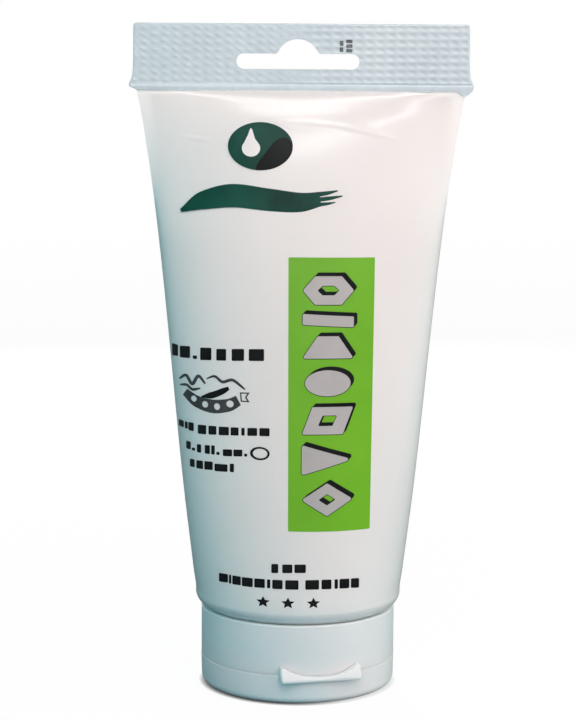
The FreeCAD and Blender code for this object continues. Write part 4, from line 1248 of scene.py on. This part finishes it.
mix1 = wt.nodes.new("ShaderNodeMix")
mix1.data_type = "RGBA"
wt.links.new(rise(0.08, 0.45), mix1.inputs["Factor"])
wt.links.new(low_color, mix1.inputs["A"])
wt.links.new(mid_color, mix1.inputs["B"])
mix2 = wt.nodes.new("ShaderNodeMix")
mix2.data_type = "RGBA"
mix2.name = "overhead"
wt.links.new(rise(0.45, 0.95), mix2.inputs["Factor"])
wt.links.new(mix1.outputs["Result"], mix2.inputs["A"])
mix2.inputs["B"].default_value = (*OVERHEAD, 1)
bg1 = wt.nodes.new("ShaderNodeBackground")
bg1.name = "around"
wt.links.new(mix2.outputs["Result"], bg1.inputs["Color"])
bg1.inputs["Strength"].default_value = WORLD_GAIN
bg2 = wt.nodes.new("ShaderNodeBackground")
bg2.inputs["Color"].default_value = (1, 1, 1, 1)
lp = wt.nodes.new("ShaderNodeLightPath")
ms = wt.nodes.new("ShaderNodeMixShader")
wt.links.new(lp.outputs["Is Camera Ray"], ms.inputs[0])
wt.links.new(bg1.outputs[0], ms.inputs[1])
wt.links.new(bg2.outputs[0], ms.inputs[2])
wt.links.new(ms.outputs[0], w_out.inputs["Surface"])


def area(name, place, target, size, power, color=(1, 1, 1), size_y=None, glossy=True):
    d = bpy.data.lights.new(name, "AREA")
    d.shape = "RECTANGLE"
    d.size, d.size_y = size, size_y or size
    d.energy = power
    d.color = color
    o = bpy.data.objects.new(name, d)
    scene.collection.objects.link(o)
    o.location = place
    o.rotation_euler = (Vector(target) - Vector(place)).to_track_quat("-Z", "Y").to_euler()
    o.visible_camera = False
    o.visible_glossy = glossy
    return o


area("fill_right", (0.26, -0.26, 0.20), (0, 0, 0.10), 0.26, 0.409, (1.000, 0.795, 0.759), glossy=False)
area("fill_front", (0.02, -0.30, 0.24), (0, 0, 0.11), 0.26, 0.633, (1.000, 0.944, 0.928), glossy=False)
area("fill_left", (-0.24, -0.24, 0.20), (0, 0, 0.10), 0.26, 0.212, (0.000, 0.963, 1.000), glossy=False)
area("side_right", (0.26, 0.02, 0.07), (0, 0, 0.06), 0.16, 0.325, (0.708, 1.000, 0.992), glossy=False)
area("side_left", (-0.24, 0.02, 0.05), (0, 0, 0.04), 0.14, 0.072, (0.000, 0.824, 1.000), glossy=False)
area("front_top", (0.05, -0.20, 0.46), (0, 0, 0.12), 0.16, 0.250, (1.000, 0.62, 0.56), glossy=False)
area("fill_back", (-0.06, 0.44, 0.24), (0, 0, 0.08), 0.40, 1.9, (1.0, 0.985, 0.975), glossy=False)
strip = area("strip", (0.10, -0.52, 0.47), (0, 0, 0.12), 0.55, 0.8, (1.0, 0.985, 0.98), size_y=0.045)
strip.visible_diffuse = False
glint = area("glint", (0.05, -0.19, 0.57), (0, 0, 0.12), 0.50, 1.0, (1.0, 0.975, 0.965), size_y=0.10)
glint.visible_diffuse = False
inside = area("inside", (0, 0, 0.0006), (0, 0, 1.0), 0.13, 0.001, (1.0, 0.96, 0.94), glossy=False)
with_lid_angle(inside.data, "energy", None, [(0.0, 0.0), (math.pi, 0.0180)])   # comes up only as the lid opens, to show its inside
inside.parent = floor


# ------------------------------------------------------------------ camera
PITCH, DIST, ROLL = math.radians(8.5), 0.540, math.radians(0.4)
fwd = Vector((0, math.cos(PITCH), -math.sin(PITCH)))
upv = Vector((0, math.sin(PITCH), math.cos(PITCH)))
rgt = Vector((1, 0, 0))
cr, cu = rgt * math.cos(ROLL) + upv * math.sin(ROLL), upv * math.cos(ROLL) - rgt * math.sin(ROLL)
cd = bpy.data.cameras.new("camera")
cam = bpy.data.objects.new("camera", cd)
scene.collection.objects.link(cam)
eye = Vector((0, 0, 0.072)) - fwd * DIST
cam.matrix_world = Matrix(((cr.x, cu.x, -fwd.x, eye.x), (cr.y, cu.y, -fwd.y, eye.y), (cr.z, cu.z, -fwd.z, eye.z), (0, 0, 0, 1)))
cd.sensor_width = 36.0
cd.lens = 2474.2 / 720 * 36
cd.shift_x, cd.shift_y = -11.4 / 720, -2.1 / 720
cd.clip_start, cd.clip_end = 0.01, 400
scene.camera = cam
scene.view_settings.view_transform = "Standard"
scene.view_settings.look = "None"
